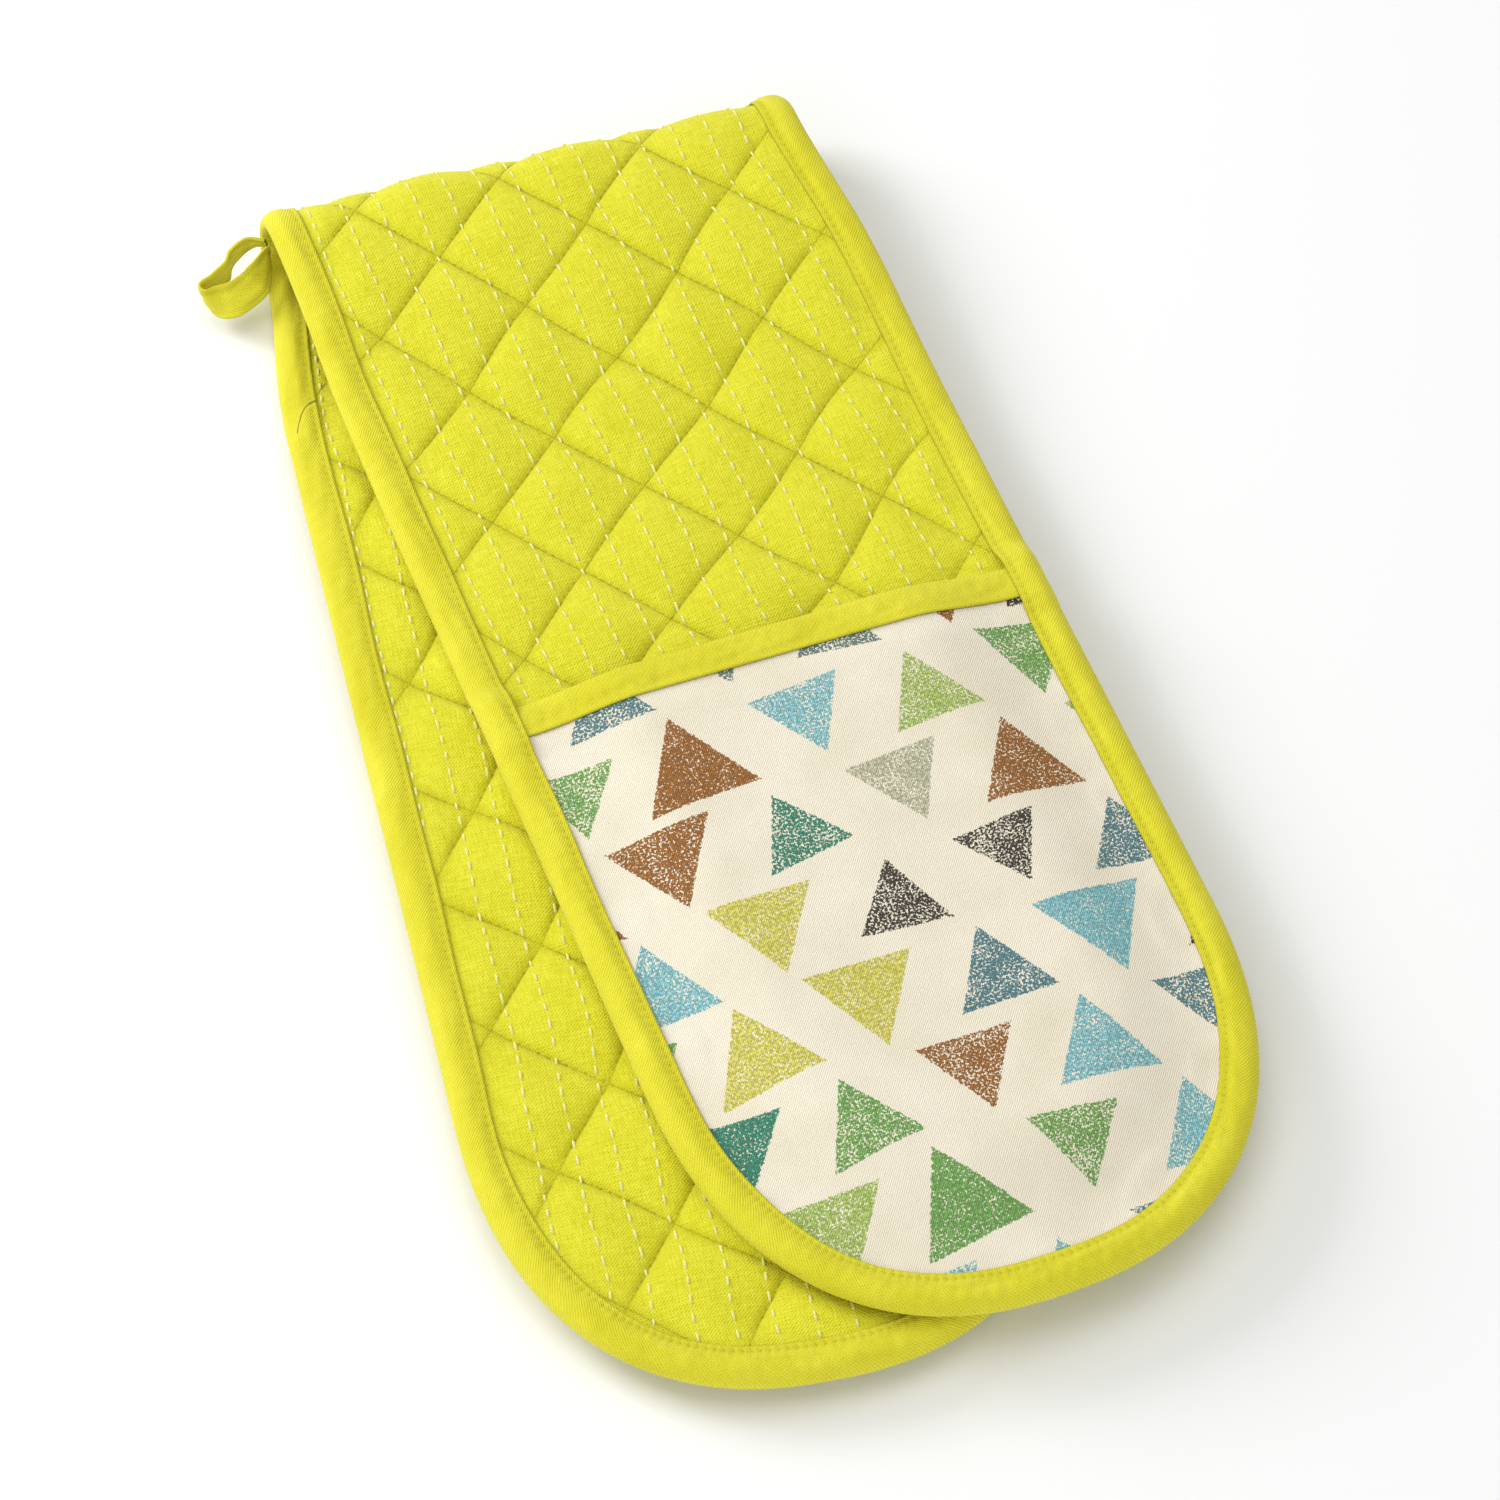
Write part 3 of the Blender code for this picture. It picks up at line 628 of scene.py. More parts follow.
def pocket_levels(u, s):
    """Heights of the lining's inner side and of the print's outer side.

    Both rise from the edge's layers to the room for the hand, and the print
    thickens past the mouth's tape. Slack sags in waves, and short creases run
    in from the edge tape and die out.
    """
    distance = edge_distance(u, s)
    full = smooth((distance - FLAT_BAND) / POCKET_RAMP)
    away = past_mouth(u, s)
    edge = EDGE_HIGH + LAYER_GAP + MOUTH_LIP * (1 - away)
    low = edge + (PANEL + HAND_SPACE - edge) * full
    low = np.maximum(low, panel_levels(u, s)[1] + LAYER_GAP)
    high = low + POCKET_EDGE + (POCKET_FRONT - POCKET_EDGE) * full * away
    drawn = np.exp(-np.maximum(distance - FLAT_BAND, 0) / CREASE_REACH) * away
    slack = 0.5 + 0.5 * ripple(u, s, SLACK_WAVE, 11)
    creases = ripple(u * CREASES_LONG, s, CREASE_WAVE, 12) * drawn
    sag = POCKET_SLACK * away * full * np.clip(slack, 0, 1) + CREASE_DEPTH * creases * away
    return low - sag, high - sag


def lining_levels(u, s):
    """The lining's two sides: the pocket's inner side, and one lining further out."""
    low = pocket_levels(u, s)[0]
    return low, low + LINING


def front_levels(u, s):
    """The printed front's two sides: just past the lining, and the pocket's outer side."""
    low, high = pocket_levels(u, s)
    return low + LINING + LAYER_GAP, high


TWILL_BEND_SIZE = 0.005
TWILL_BREAK_SLANT = 0.45
TWILL_RIB_SHARE = 0.6
TWILL_BREAK_SHARE = 0.25
TWILL_GRAIN_SHARE = 0.9


def twill(thread, u, s, pitch, steepness):
    """Height of a twill: slanting ribs, broken where each yarn dives under.

    It is a wave along a slanting sum of both directions, less a part of itself
    times a crossing wave, plus fine grain.
    """
    bent = thread.noise(thread.point(u, s), TWILL_BEND_SIZE, 1.0) * (pitch * 0.8)
    ribs = (u * steepness + s + bent).wave(pitch)
    breaks = (u - s * TWILL_BREAK_SLANT).wave(pitch * 0.9)
    grain = thread.noise(thread.point(u, s), pitch * 0.8, 1.0)
    broken = ribs * TWILL_RIB_SHARE + ribs * breaks * TWILL_BREAK_SHARE
    return broken + (grain - 0.5) * TWILL_GRAIN_SHARE


CREAM_SHADE = linear_colour(230, 220, 194)
CREAM_PALE = linear_colour(248, 240, 220)
PRINT_COLOURS = ((30, 134, 108), (112, 170, 80), (170, 198, 92), (220, 212, 84), (156, 93, 0),
                 (78, 130, 140), (128, 196, 204), (192, 192, 160), (24, 18, 12), (96, 128, 120))
INK_SHADE = linear_colour(24, 30, 16)
INK_SHADE_SHARE = 0.34
INK_COVER = 0.96
INK_RIB_SHARE = 0.04
CREAM_CLOUD_SIZE = 0.03
CREAM_CLOUD_SHARE = 1.1
CREAM_RIB_SHARE = 0.32
MOTIF_ACROSS = 0.037
MOTIF_ALONG = 0.033
MOTIF_SIZE = 0.0090
MOTIF_LEAST_SHARE = 0.86
MOTIF_SPREAD_SHARE = 0.28
MOTIF_FLANK = (0.87, 0.5)
MOTIF_STRAY = 0.003
MOTIF_TILT = 0.3
RAGGED_WAVE = 0.0011
RAGGED_DEPTH = 0.0014
INK_EDGE_IN = 0.0001
INK_EDGE_OUT = 0.0002
CHALK_GRAIN = 0.00080
CHALK_PATCH = 0.007
CHALK_PATCH_SHARE = 0.25
CHALK_FADE = 0.035
CHALK_COVER = 0.53
CHALK_COVER_SPREAD = 0.1
HEAVY_GRAIN = 1.3 * CHALK_GRAIN
HEAVY_FROM = 0.38
HEAVY_FULL = 0.56
PRINT_TWILL_PITCH = 0.0010
PRINT_TWILL_SLANT = 1.3
PRINT_TWILL_DEPTH = 0.00009
LINING_WEAVE_PITCH = 0.0004
LINING_WEAVE_DEPTH = 0.00008
LINING_WEAVE_SHARE = 0.2


def chalk_triangles(thread, u, s):
    """Where the print has ink, a random number for each motif, and where the ink is thick.

    The motifs stand in staggered rows, one to a cell, and point up and down by
    turns. A triangle is where three slanting distances are all below its size.
    The chalky look is noise that thins the ink, more in some motifs than others.
    """
    row = (s / MOTIF_ALONG).sum("FLOOR", s / MOTIF_ALONG)
    shifted = u / MOTIF_ACROSS + row * 0.5
    column = shifted.sum("FLOOR", shifted)
    dice = thread.node("ShaderNodeTexWhiteNoise", {"noise_dimensions": "2D"},
                       {"Vector": thread.point(column, row)}, 0)
    other = thread.node("ShaderNodeTexWhiteNoise", {"noise_dimensions": "2D"},
                        {"Vector": thread.point(column + 37.0, row - 11.0)}, 0)
    parity = (column + row).sum("FLOORED_MODULO", column + row, 2.0)
    x = (shifted - column - 0.5) * MOTIF_ACROSS + (other - 0.5) * MOTIF_STRAY
    y = (s / MOTIF_ALONG - row - 0.5) * MOTIF_ALONG * (1 - 2 * parity) + MOTIF_SIZE / 2
    tilt = (dice - 0.5) * MOTIF_TILT
    x, y = x - y * tilt, y + x * tilt
    rough = (thread.noise(thread.point(u, s), RAGGED_WAVE, 2.0) - 0.5) * RAGGED_DEPTH
    size = MOTIF_SIZE * (MOTIF_LEAST_SHARE + MOTIF_SPREAD_SHARE * other)
    side = x.sum("ABSOLUTE", x) * MOTIF_FLANK[0] + y * MOTIF_FLANK[1]
    inside = side.sum("MAXIMUM", side, 0 - y) + rough - size
    cover = CHALK_COVER + CHALK_COVER_SPREAD * other
    patchy = (thread.noise(thread.point(u, s), CHALK_PATCH, 2.0) - 0.5) * CHALK_PATCH_SHARE
    grain = thread.noise(thread.point(u, s), CHALK_GRAIN, 2.0, 0.6) + patchy
    ink = (1 - inside.eased(-INK_EDGE_IN, INK_EDGE_OUT)) * (1 - grain.eased(cover, cover + CHALK_FADE))
    heavy = thread.noise(thread.point(s, u), HEAVY_GRAIN, 1.0).eased(HEAVY_FROM, HEAVY_FULL)
    return ink, dice, heavy


def cream_print_material():
    """Cream cotton twill, printed with chalky triangles in ten colours."""
    material, shader, flat = new_material("cream_print", roughness=0.8, sheen=0.08)
    u, s = flat.parts()
    ribs = twill(flat, u, s, PRINT_TWILL_PITCH, PRINT_TWILL_SLANT)
    cloudy = flat.noise(flat, CREAM_CLOUD_SIZE, 3.0) - 0.5
    ground = 0.5 + cloudy * CREAM_CLOUD_SHARE + ribs * CREAM_RIB_SHARE
    ground = ground.clamped().mixed(CREAM_SHADE, CREAM_PALE)
    ink, dice, heavy = chalk_triangles(flat, u, s)
    stops = [(i / len(PRINT_COLOURS), linear_colour(*colour)) for i, colour in enumerate(PRINT_COLOURS)]
    dye = flat.node("ShaderNodeValToRGB", {"stops": stops, "blending": "CONSTANT"}, {0: dice})
    shaded = (heavy * INK_SHADE_SHARE).mixed(dye, INK_SHADE)
    colour = (ink * (INK_COVER + ribs * INK_RIB_SHARE)).mixed(ground, shaded)
    finish_cloth(flat, shader, colour, ribs, PRINT_TWILL_DEPTH)
    return material


def cream_lining_material():
    """Unprinted cream cotton in a plain weave."""
    material, shader, flat = new_material("cream_lining", roughness=0.9, sheen=0.08)
    u, s = flat.parts()
    weave = plain_weave(flat, u, s, LINING_WEAVE_PITCH)
    colour = (weave * LINING_WEAVE_SHARE + 0.5).eased(0.0, 1.0).mixed(CREAM_SHADE, CREAM_PALE)
    finish_cloth(flat, shader, colour, weave, LINING_WEAVE_DEPTH)
    return material


cream_print = cream_print_material()
cream_lining = cream_lining_material()

for part, half in HALVES:
    plan = pocket_plan(half)
    front = padded_piece(part + "_printed_front", plan, front_levels, cream_print)
    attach(front, part + "_half")
    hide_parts(part + "_pocket_front", part + "_pocket_wadding")
    lining = padded_piece(part + "_lining", plan, lining_levels, cream_lining)
    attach(lining, part + "_half")
    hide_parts(part + "_pocket_lining")


# Edge tape.
# One bias-cut lime twill tape is folded over every edge of the strip and sewn
# through 2 mm from its inner edges. It is puffed by the layers inside and
# drawn in a little at each stitch.

EDGE_TAPE = 0.0010
EDGE_LIP = EDGE_TAPE + LAYER_GAP
TAPE_INSIDE = 0.0022
TAPE_NOSE = 0.0062
TAPE_ROUNDNESS = 2.2
NOSE_STEPS = 8
NOSE_CROWDING = 1.8
FLAT_STEPS = 4
SKIN_STEP = 0.0003
INSIDE_POINTS = 4
TOPSTITCH_IN = EDGE_TAPE_WIDTH - 0.0020
TOPSTITCH_STEP = 0.0006
LIP_STEPS = (0.0008, 0.0003, 0)
TOPSTITCH_PITCH = 0.0029
TOPSTITCH_GROOVE = 0.0007
TOPSTITCH_REACH = 0.0019
PULL_MEAN = 0.72
PULL_SWING = 0.28
LIP_TURN_SHARE = 0.55
TAPE_PUFF = 0.0006
TAPE_STEP = 0.0008
ROUND_END_POINTS = 4001
TAPE_WAVE = 0.016
TAPE_WAVE_DEPTH = 0.00024
TAPE_WAVES_ACROSS = 3
TAPE_CREASE = 0.005
TAPE_CREASE_DEPTH = 0.00012
TAPE_CREASES_ACROSS = 0.7
TAPE_WOBBLE = 0.0003
WOBBLE_WAVE = 0.050
LIP_ROUND = 0.0005
LIP_LINE = 0.0003
SEWN_LINE = 0.0008
SQUARE_TO_FOLD = 0.030
JOIN_AT = 0.080
JOIN_RUN = 0.0145
JOIN_CURVE = 2.3
JOIN_WIDTH = 0.0087
JOIN_HEIGHT = 0.0009
JOIN_STEP = 0.0008
JOIN_FADE = 0.022


def edge_rise(u, s):
    """How much higher the edge is where the pocket's layers are caught in it."""
    start = mouth_at(u, s) - EDGE_TAPE_WIDTH - LAYER_GAP
    layers = POCKET_EDGE + LAYER_GAP + 2 * MOUTH_LIP * (1 - past_mouth(u, s))
    return layers * smooth((np.abs(s) - start) / EDGE_TAPE_WIDTH)


def tape_depths():
    """Distances in from the tape's nose, crowded at the nose and at the stitching."""
    round_part = TAPE_NOSE * np.linspace(0, 1, NOSE_STEPS) ** NOSE_CROWDING
    flat_part = np.linspace(TAPE_NOSE, TOPSTITCH_IN - 2 * TOPSTITCH_STEP, FLAT_STEPS)[1:]
    sewn_part = TOPSTITCH_IN + TOPSTITCH_STEP * np.array([-1, 0, 1])
    lip_part = EDGE_TAPE_WIDTH - np.array(LIP_STEPS)
    return np.concatenate([round_part, flat_part, sewn_part, lip_part])


def tape_skin(depth, half_height):
    """Height of the tape's skin above its middle: round at the nose, then level."""
    share = np.clip(depth / TAPE_NOSE, 0, 1)
    return half_height * (1 - (1 - share) ** TAPE_ROUNDNESS) ** (1 / TAPE_ROUNDNESS)


def sewn_down(depth, along, width, tape, groove):
    """How far the skin is drawn in at the stitching and turned under at the lip."""
    from_line = (depth - (width - EDGE_TAPE_WIDTH + TOPSTITCH_IN)) / TOPSTITCH_REACH
    pull = PULL_MEAN + PULL_SWING * np.cos(2 * pi * along / TOPSTITCH_PITCH)
    lip = np.clip((depth - width + LIP_ROUND) / LIP_ROUND, 0, 1) ** 2
    return groove * np.exp(-from_line ** 2) * pull + LIP_TURN_SHARE * tape * lip


def tape_rings(along, width, tape, puff, groove, low, high):
    """Closed sections of a folded tape, one row for each place along it.

    Each has the skin from the top lip round the nose to the bottom lip, and
    goes back inside at one tape's thickness. The skin swells most midway, by
    the puff and by waves that run along the tape. Gives depths and heights.
    """
    depth = tape_depths() * width / EDGE_TAPE_WIDTH
    along, low, high = along[:, None], low[:, None], high[:, None]
    middle, half_height = (low + high) / 2, (high - low) / 2
    waves = TAPE_WAVE_DEPTH * ripple(along, depth * TAPE_WAVES_ACROSS, TAPE_WAVE, 21)
    creases = ripple(along, depth * TAPE_CREASES_ACROSS, TAPE_CREASE, 23)
    waves = waves + TAPE_CREASE_DEPTH * creases
    swell = (waves + puff) * np.sin(pi * np.clip(depth / width, 0, 1))
    skin = tape_skin(depth, half_height) - sewn_down(depth, along, width, tape, groove) + swell
    inside = np.array([width, TAPE_INSIDE])
    rows = len(along)
    depths = np.concatenate([depth[::-1], depth[1:], inside, inside[::-1]])
    heights = np.concatenate([(middle + skin)[:, ::-1], (middle - skin)[:, 1:],
                              np.broadcast_to(low + tape, (rows, 2)),
                              np.broadcast_to(high - tape, (rows, 2))], 1)
    return np.broadcast_to(depths, heights.shape), heights


def swept_piece(name, rings, flat, material):
    """A closed skin over a row of rings, with a face closing each end."""
    rows, sides, _ = rings.shape
    number = np.arange(rows * sides).reshape(rows, sides)
    after = np.roll(number, -1, axis=1)
    quads = np.stack([number[:-1], number[1:], after[1:], after[:-1]], -1).reshape(-1, 4).tolist()
    ends = [number[0].tolist(), number[-1, ::-1].tolist()]
    piece = new_piece(name, rings.reshape(-1, 3), quads + ends, flat.reshape(-1, 2), material)
    shell = bmesh.new()
    shell.from_mesh(piece.data)
    shell.normal_update()
    bmesh.ops.triangulate(shell, faces=[face for face in shell.faces if len(face.verts) > 4])
    if shell.calc_volume(signed=True) < 0:
        bmesh.ops.reverse_faces(shell, faces=shell.faces)
    shell.to_mesh(piece.data)
    shell.free()
    return piece


def edge_route(half):
    """Edge points, inward directions, and lengths along one half's edge, from fold to fold."""
    side_steps = round(END_START / TAPE_STEP)
    side_s = np.linspace(0, END_START, side_steps + 1)
    fine = np.linspace(0, pi, ROUND_END_POINTS)
    power = 2 / END_ROUNDNESS
    u = HALF_WIDTH * np.sign(np.cos(fine)) * np.abs(np.cos(fine)) ** power
    s = END_START + END_DEPTH * np.abs(np.sin(fine)) ** power
    run = np.concatenate([[0], np.cumsum(np.hypot(np.diff(u), np.diff(s)))])
    even = np.linspace(0, run[-1], round(run[-1] / TAPE_STEP) + 1)[1:-1]
    end = np.stack([np.interp(even, run, u), np.interp(even, run, s)], 1)
    right = np.stack([np.full(len(side_s), HALF_WIDTH), side_s], 1)
    left = np.stack([np.full(len(side_s), -HALF_WIDTH), side_s[::-1]], 1)
    route = np.concatenate([right, end, left])
    ahead = np.gradient(route, axis=0)
    ahead[:side_steps] = (0, 1)
    ahead[-side_steps:] = (0, -1)
    ahead /= np.hypot(ahead[:, 0], ahead[:, 1])[:, None]
    inward = np.stack([-ahead[:, 1], ahead[:, 0]], 1)
    length = np.concatenate([[0], np.cumsum(np.hypot(*np.diff(route, axis=0).T))])
    return half * route, half * inward, length


def towards_fold(u, s):
    """Slides the places beside the fold so that the tape ends square to it."""
    return s + u * np.tan(SPLAY) * (1 - smooth(np.abs(s) / SQUARE_TO_FOLD))


def past_join(half, length, depths):
    """How far past the tape's slanting join each point is. It is on the lower half's left.

    The join starts at the tape's lip and curves along it, by a power of the
    share of its width that it has crossed.
    """
    if half > 0:
        return np.full(depths.shape, -HALF_LENGTH)
    crossed = np.clip((EDGE_TAPE_WIDTH - depths) / JOIN_WIDTH, 0, 1)
    return length[:, None] - JOIN_AT - JOIN_RUN * crossed ** JOIN_CURVE


TAPE_TWILL_PITCH = 0.0012
TAPE_TWILL_SLANT = 1.0
TAPE_TWILL_DEPTH = 0.00011
TAPE_RIB_SHARE = 0.32
TAPE_CLOUD_SIZE = 0.012
TAPE_CLOUD_DRAWN = 0.4
TAPE_CLOUD_SHARE = 0.8
SEWN_SHADE_SHARE = 0.25
PIERCED_FROM = 0.5
PIERCED_FULL = 0.9
PIERCED_CORE = 0.0002
PIERCED_RIM = 0.0006
PIERCED_SHADE_SHARE = 0.3
LIP_SHADE_SHARE = 0.65
JOIN_CORE = 0.0003
JOIN_RIM = 0.0011
JOIN_SHADE_SHARE = 0.85
TWILL_PALE = linear_colour(240, 233, 66)
TWILL_DEEP = linear_colour(208, 200, 10)
JOIN_SHADE = linear_colour(120, 112, 2)


def lime_twill_material():
    """Lime twill tape: fine slanting ribs, clouded dye, painted shade at the stitching, its holes and the
    lip.

    The tapes store how near each point is to the stitching and to the lip, and
    how far it is past the join, whose line is drawn where that is about 0.
    """
    material, shader, flat = new_material("lime_twill", roughness=0.84, sheen=0.12)
    u, s = flat.parts()
    ribs = twill(flat, u, s, TAPE_TWILL_PITCH, TAPE_TWILL_SLANT)
    cloudy = flat.noise(flat.point(u, s * TAPE_CLOUD_DRAWN), TAPE_CLOUD_SIZE, 3.0) - 0.5
    worn = 0.5 + cloudy * TAPE_CLOUD_SHARE + ribs * TAPE_RIB_SHARE
    colour = worn.clamped().mixed(TWILL_DEEP, TWILL_PALE)
    sewn = flat.stored("sewn")
    from_hole = (s / TOPSTITCH_PITCH).from_whole() * TOPSTITCH_PITCH
    pierced = sewn.eased(PIERCED_FROM, PIERCED_FULL) * (1 - from_hole.eased(PIERCED_CORE, PIERCED_RIM))
    past = flat.stored("past_join")
    join = 1 - past.sum("ABSOLUTE", past).eased(JOIN_CORE, JOIN_RIM)
    # Painted shade along the stitching's groove and at its needle holes, a painted contact shadow under the
    # lip, and a painted shadow line at the join's step.
    colour = (sewn * SEWN_SHADE_SHARE).mixed(colour, SEAM_SHADE)
    colour = (pierced * PIERCED_SHADE_SHARE).mixed(colour, HOLE_SHADE)
    colour = (flat.stored("lip") * LIP_SHADE_SHARE).mixed(colour, HOLE_SHADE)
    colour = (join * JOIN_SHADE_SHARE).mixed(colour, JOIN_SHADE)
    finish_cloth(flat, shader, colour, ribs, TAPE_TWILL_DEPTH)
    return material


lime_twill = lime_twill_material()


def tape_flat(along, depths):
    """Flat places of the tape itself: round it, and along it."""
    around = np.concatenate([[0], np.cumsum(np.abs(np.diff(depths[0])) + SKIN_STEP)])
    return np.stack(np.broadcast_arrays(around[None, :], along[:, None]), -1)


for part, half in HALVES:
    route, inward, length = edge_route(half)
    wobble = TAPE_WOBBLE * ripple(length, length * 0, WOBBLE_WAVE, 22 + half)
    low = np.full(len(route), EDGE_LOW - EDGE_LIP)
    high = EDGE_HIGH + EDGE_LIP + edge_rise(route[:, 0], route[:, 1])
    depths, heights = tape_rings(length, EDGE_TAPE_WIDTH, EDGE_TAPE, TAPE_PUFF, TOPSTITCH_GROOVE, low, high)
    past = past_join(half, length, depths)
    ply = JOIN_HEIGHT * smooth(past / JOIN_STEP) * (1 - smooth(past / JOIN_FADE))
    shift = wobble[:, None] * np.clip(depths / EDGE_TAPE_WIDTH, 0, 1) ** 2
    across = route[:, None, 0] + inward[:, None, 0] * (depths + shift)
    along = route[:, None, 1] + inward[:, None, 1] * (depths + shift)
    along = towards_fold(across, along)
    outside = np.arange(depths.shape[1]) < depths.shape[1] - INSIDE_POINTS
    heights = heights + ply * outside * np.sign(heights - (low + high)[:, None] / 2)
    rings = place(across, along, heights)
    tape = swept_piece(part + "_edge_tape", rings, tape_flat(length, depths), lime_twill)
    # Where the tape's material paints shade along the stitching and a contact shadow under the lip.
    sewn = np.exp(-((depths - TOPSTITCH_IN) / SEWN_LINE) ** 2)
    point_values(tape, "sewn", (sewn * outside).ravel())
    lip = np.exp(-((depths - EDGE_TAPE_WIDTH) / LIP_LINE) ** 2)
    point_values(tape, "lip", (lip * outside).ravel())
    past = np.where(depths < EDGE_TAPE_WIDTH - JOIN_WIDTH, np.sign(past) * HALF_LENGTH, past)
    point_values(tape, "past_join", past.ravel())
    bend_with_fold(tape, half)
    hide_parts(part + "_edge_binding", "fold_left_binding", "fold_right_binding")


# Mouth tape.
# The pocket's mouth is bound with straight twill tape, folded over it and sewn
# through. Its ends run under the edge tape.

MOUTH_GROOVE = 0.0001
MOUTH_NOSE = 0.5
MOUTH_TWILL = (0.6, 1.5)
MOUTH_LIP_SHADE = 0.4
MOUTH_TAPE_INSET = 0.004
MOUTH_TAPE_ROWS = 228

mouth_reach = HALF_WIDTH - MOUTH_TAPE_INSET
mouth_across = np.linspace(-mouth_reach, mouth_reach, MOUTH_TAPE_ROWS)

for part, half in HALVES:
    mouth = mouth_at(mouth_across, 1)
    low, high = pocket_levels(mouth_across, mouth)
    run = mouth_across - mouth_across[0]
    low, high = low - MOUTH_LIP, high + MOUTH_LIP
    depths, heights = tape_rings(run, MOUTH_TAPE_WIDTH, MOUTH_TAPE, 0, MOUTH_GROOVE, low, high)
    across = half * np.broadcast_to(mouth_across[:, None], depths.shape)
    along = half * (mouth[:, None] + depths * np.where(depths > TAPE_INSIDE, 1, MOUTH_NOSE))
    flat = tape_flat(run, depths) * MOUTH_TWILL
    tape = swept_piece(part + "_mouth_tape", place(across, along, heights), flat, lime_twill)
    # A painted contact shadow under the mouth tape's lip.
    lip = MOUTH_LIP_SHADE * np.exp(-((depths - MOUTH_TAPE_WIDTH) / LIP_LINE) ** 2)
    point_values(tape, "lip", lip.ravel())
    point_values(tape, "past_join", np.full(depths.size, HALF_LENGTH))
    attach(tape, part + "_half")
    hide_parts(part + "_pocket_mouth_binding")


# Hanging loop.
# A length of the same twill, folded twice to a narrow tape, stands on edge and
# leans in. Its ends are caught inside the fold, behind the edge tape.

LOOP_REACH = 0.0186
LOOP_SPREAD = 0.0175
LOOP_WIDTH = 0.0110
LOOP_THICKNESS = 0.0015
LOOP_TWILL = 1.25
LOOP_LEAN = radians(50)
LOOP_DROOP = radians(15)
LOOP_STEPS = 12
LOOP_SIDES = 36
LOOP_FLATNESS = 0.4
LOOP_EDGE_ROUNDNESS = 0.8
LOOP_LINE_IN = 0.0018
LOOP_LINE = 0.0005
LOOP_PINCH = 0.3
LOOP_LINE_SHADE = 0.35
LOOP_WAVE = 0.012
LOOP_WAVE_SHARE = 0.04
LOOP_CREASE = 0.010
LOOP_CREASE_DEPTH = 0.0003
LOOP_CREASES_ACROSS = 2

# Shares of the loop's reach, spread, lean and width, from one sewn end to the other.
LOOP_ROUTE_SHARES = np.array([
    (-0.27, 0.34, 0.28, 0.3),
    (0.02, 0.48, 0.28, 0.75),
    (0.38, 0.32, 0.28, 1),
    (0.51, 0.07, 0.28, 1),
    (0.78, -0.05, 0.2, 1),
    (1, -0.19, 0, 1),
    (0.99, -0.4, 0.15, 1),
    (0.82, -0.52, 0.7, 1),
    (0.55, -0.59, 1, 1),
    (0.17, -0.47, 1, 1),
    (0.02, -0.31, 0.6, 0.95),
    (-0.17, -0.03, 0.25, 0.6),
    (-0.27, 0.17, 0, 0.3),
])


def loop_route():
    """Places off the pivot, lean and half width along the loop, eased through the route's rows.

    Between two rows it is the cubic whose slope at each row is half the step
    from the row before to the row after.
    """
    points = LOOP_ROUTE_SHARES * (-LOOP_REACH, LOOP_SPREAD, LOOP_LEAN, LOOP_WIDTH / 2)
    ends = np.concatenate([[2 * points[0] - points[1]], points, [2 * points[-1] - points[-2]]])
    a, b, c, d = (ends[i:len(ends) - 3 + i, None] for i in range(4))
    k = (np.arange(LOOP_STEPS) / LOOP_STEPS)[:, None]
    curve = 0.5 * (2 * b + (c - a) * k + (2 * a - 5 * b + 4 * c - d) * k ** 2
                   + (3 * b - a - 3 * c + d) * k ** 3)
    return np.concatenate([curve.reshape(-1, 4), points[-1:]])


def loop_rings():
    """Sections of the standing tape: a thin box, pinched beside its two folded edges.

    The box is a superellipse. It leans in by the route's lean, faces across the
    route's run, and the whole loop droops about its pivot.
    """
    route = loop_route()
    x, y, lean, half = (part[:, None] for part in route.T)
    run = np.gradient(route[:, :2], axis=0)
    into = np.stack([-run[:, 1], run[:, 0]]) / np.hypot(run[:, 0], run[:, 1])
    into_x, into_y = into[:, :, None]
    length = np.concatenate([[0], np.cumsum(np.hypot(*np.diff(route[:, :2], axis=0).T))])[:, None]
    turn = np.linspace(-pi / 2, 3 * pi / 2, LOOP_SIDES, endpoint=False)
    boxy = np.sign(np.cos(turn)) * np.abs(np.cos(turn)) ** LOOP_FLATNESS
    tall = half * np.sign(np.sin(turn)) * np.abs(np.sin(turn)) ** LOOP_EDGE_ROUNDNESS
    tall = tall * (1 + LOOP_WAVE_SHARE * ripple(length, length * 0, LOOP_WAVE, 31))
    line = np.exp(-((np.abs(tall) - half + LOOP_LINE_IN) / LOOP_LINE) ** 2)
    thick = LOOP_THICKNESS / 2 * boxy * (1 - LOOP_PINCH * line)
    creases = ripple(length, tall * LOOP_CREASES_ACROSS, LOOP_CREASE, 32)
    thick = thick + LOOP_CREASE_DEPTH * creases
    inwards = thick * np.cos(lean) + tall * np.sin(lean)
    level = x + into_x * inwards
    rise = tall * np.cos(lean) - thick * np.sin(lean)
    out = level * cos(LOOP_DROOP) - rise * sin(LOOP_DROOP)
    up = level * sin(LOOP_DROOP) + rise * cos(LOOP_DROOP)
    around = np.broadcast_to(-turn * LOOP_WIDTH / pi, tall.shape)
    flat = np.stack([around, np.broadcast_to(length, tall.shape)], -1) * LOOP_TWILL
    return np.stack([out, y + into_y * inwards, up], -1) + LOOP_PIVOT, flat, line


rings, flat, line = loop_rings()
loop = swept_piece("hanging_tape_loop", rings, flat, lime_twill)
# Painted shade along the pinched lines beside the folded edges.
point_values(loop, "lip", LOOP_LINE_SHADE * line.ravel())
point_values(loop, "past_join", np.full(line.size, HALF_LENGTH))
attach(loop, "hanging_loop")
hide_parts("hanging_loop")


# Stitches.
# Rows of cream running stitch go down the lime cloth. The quilting and the tape
# are sewn with lime thread. Each stitch is a short bead whose ends dive into
# the cloth.

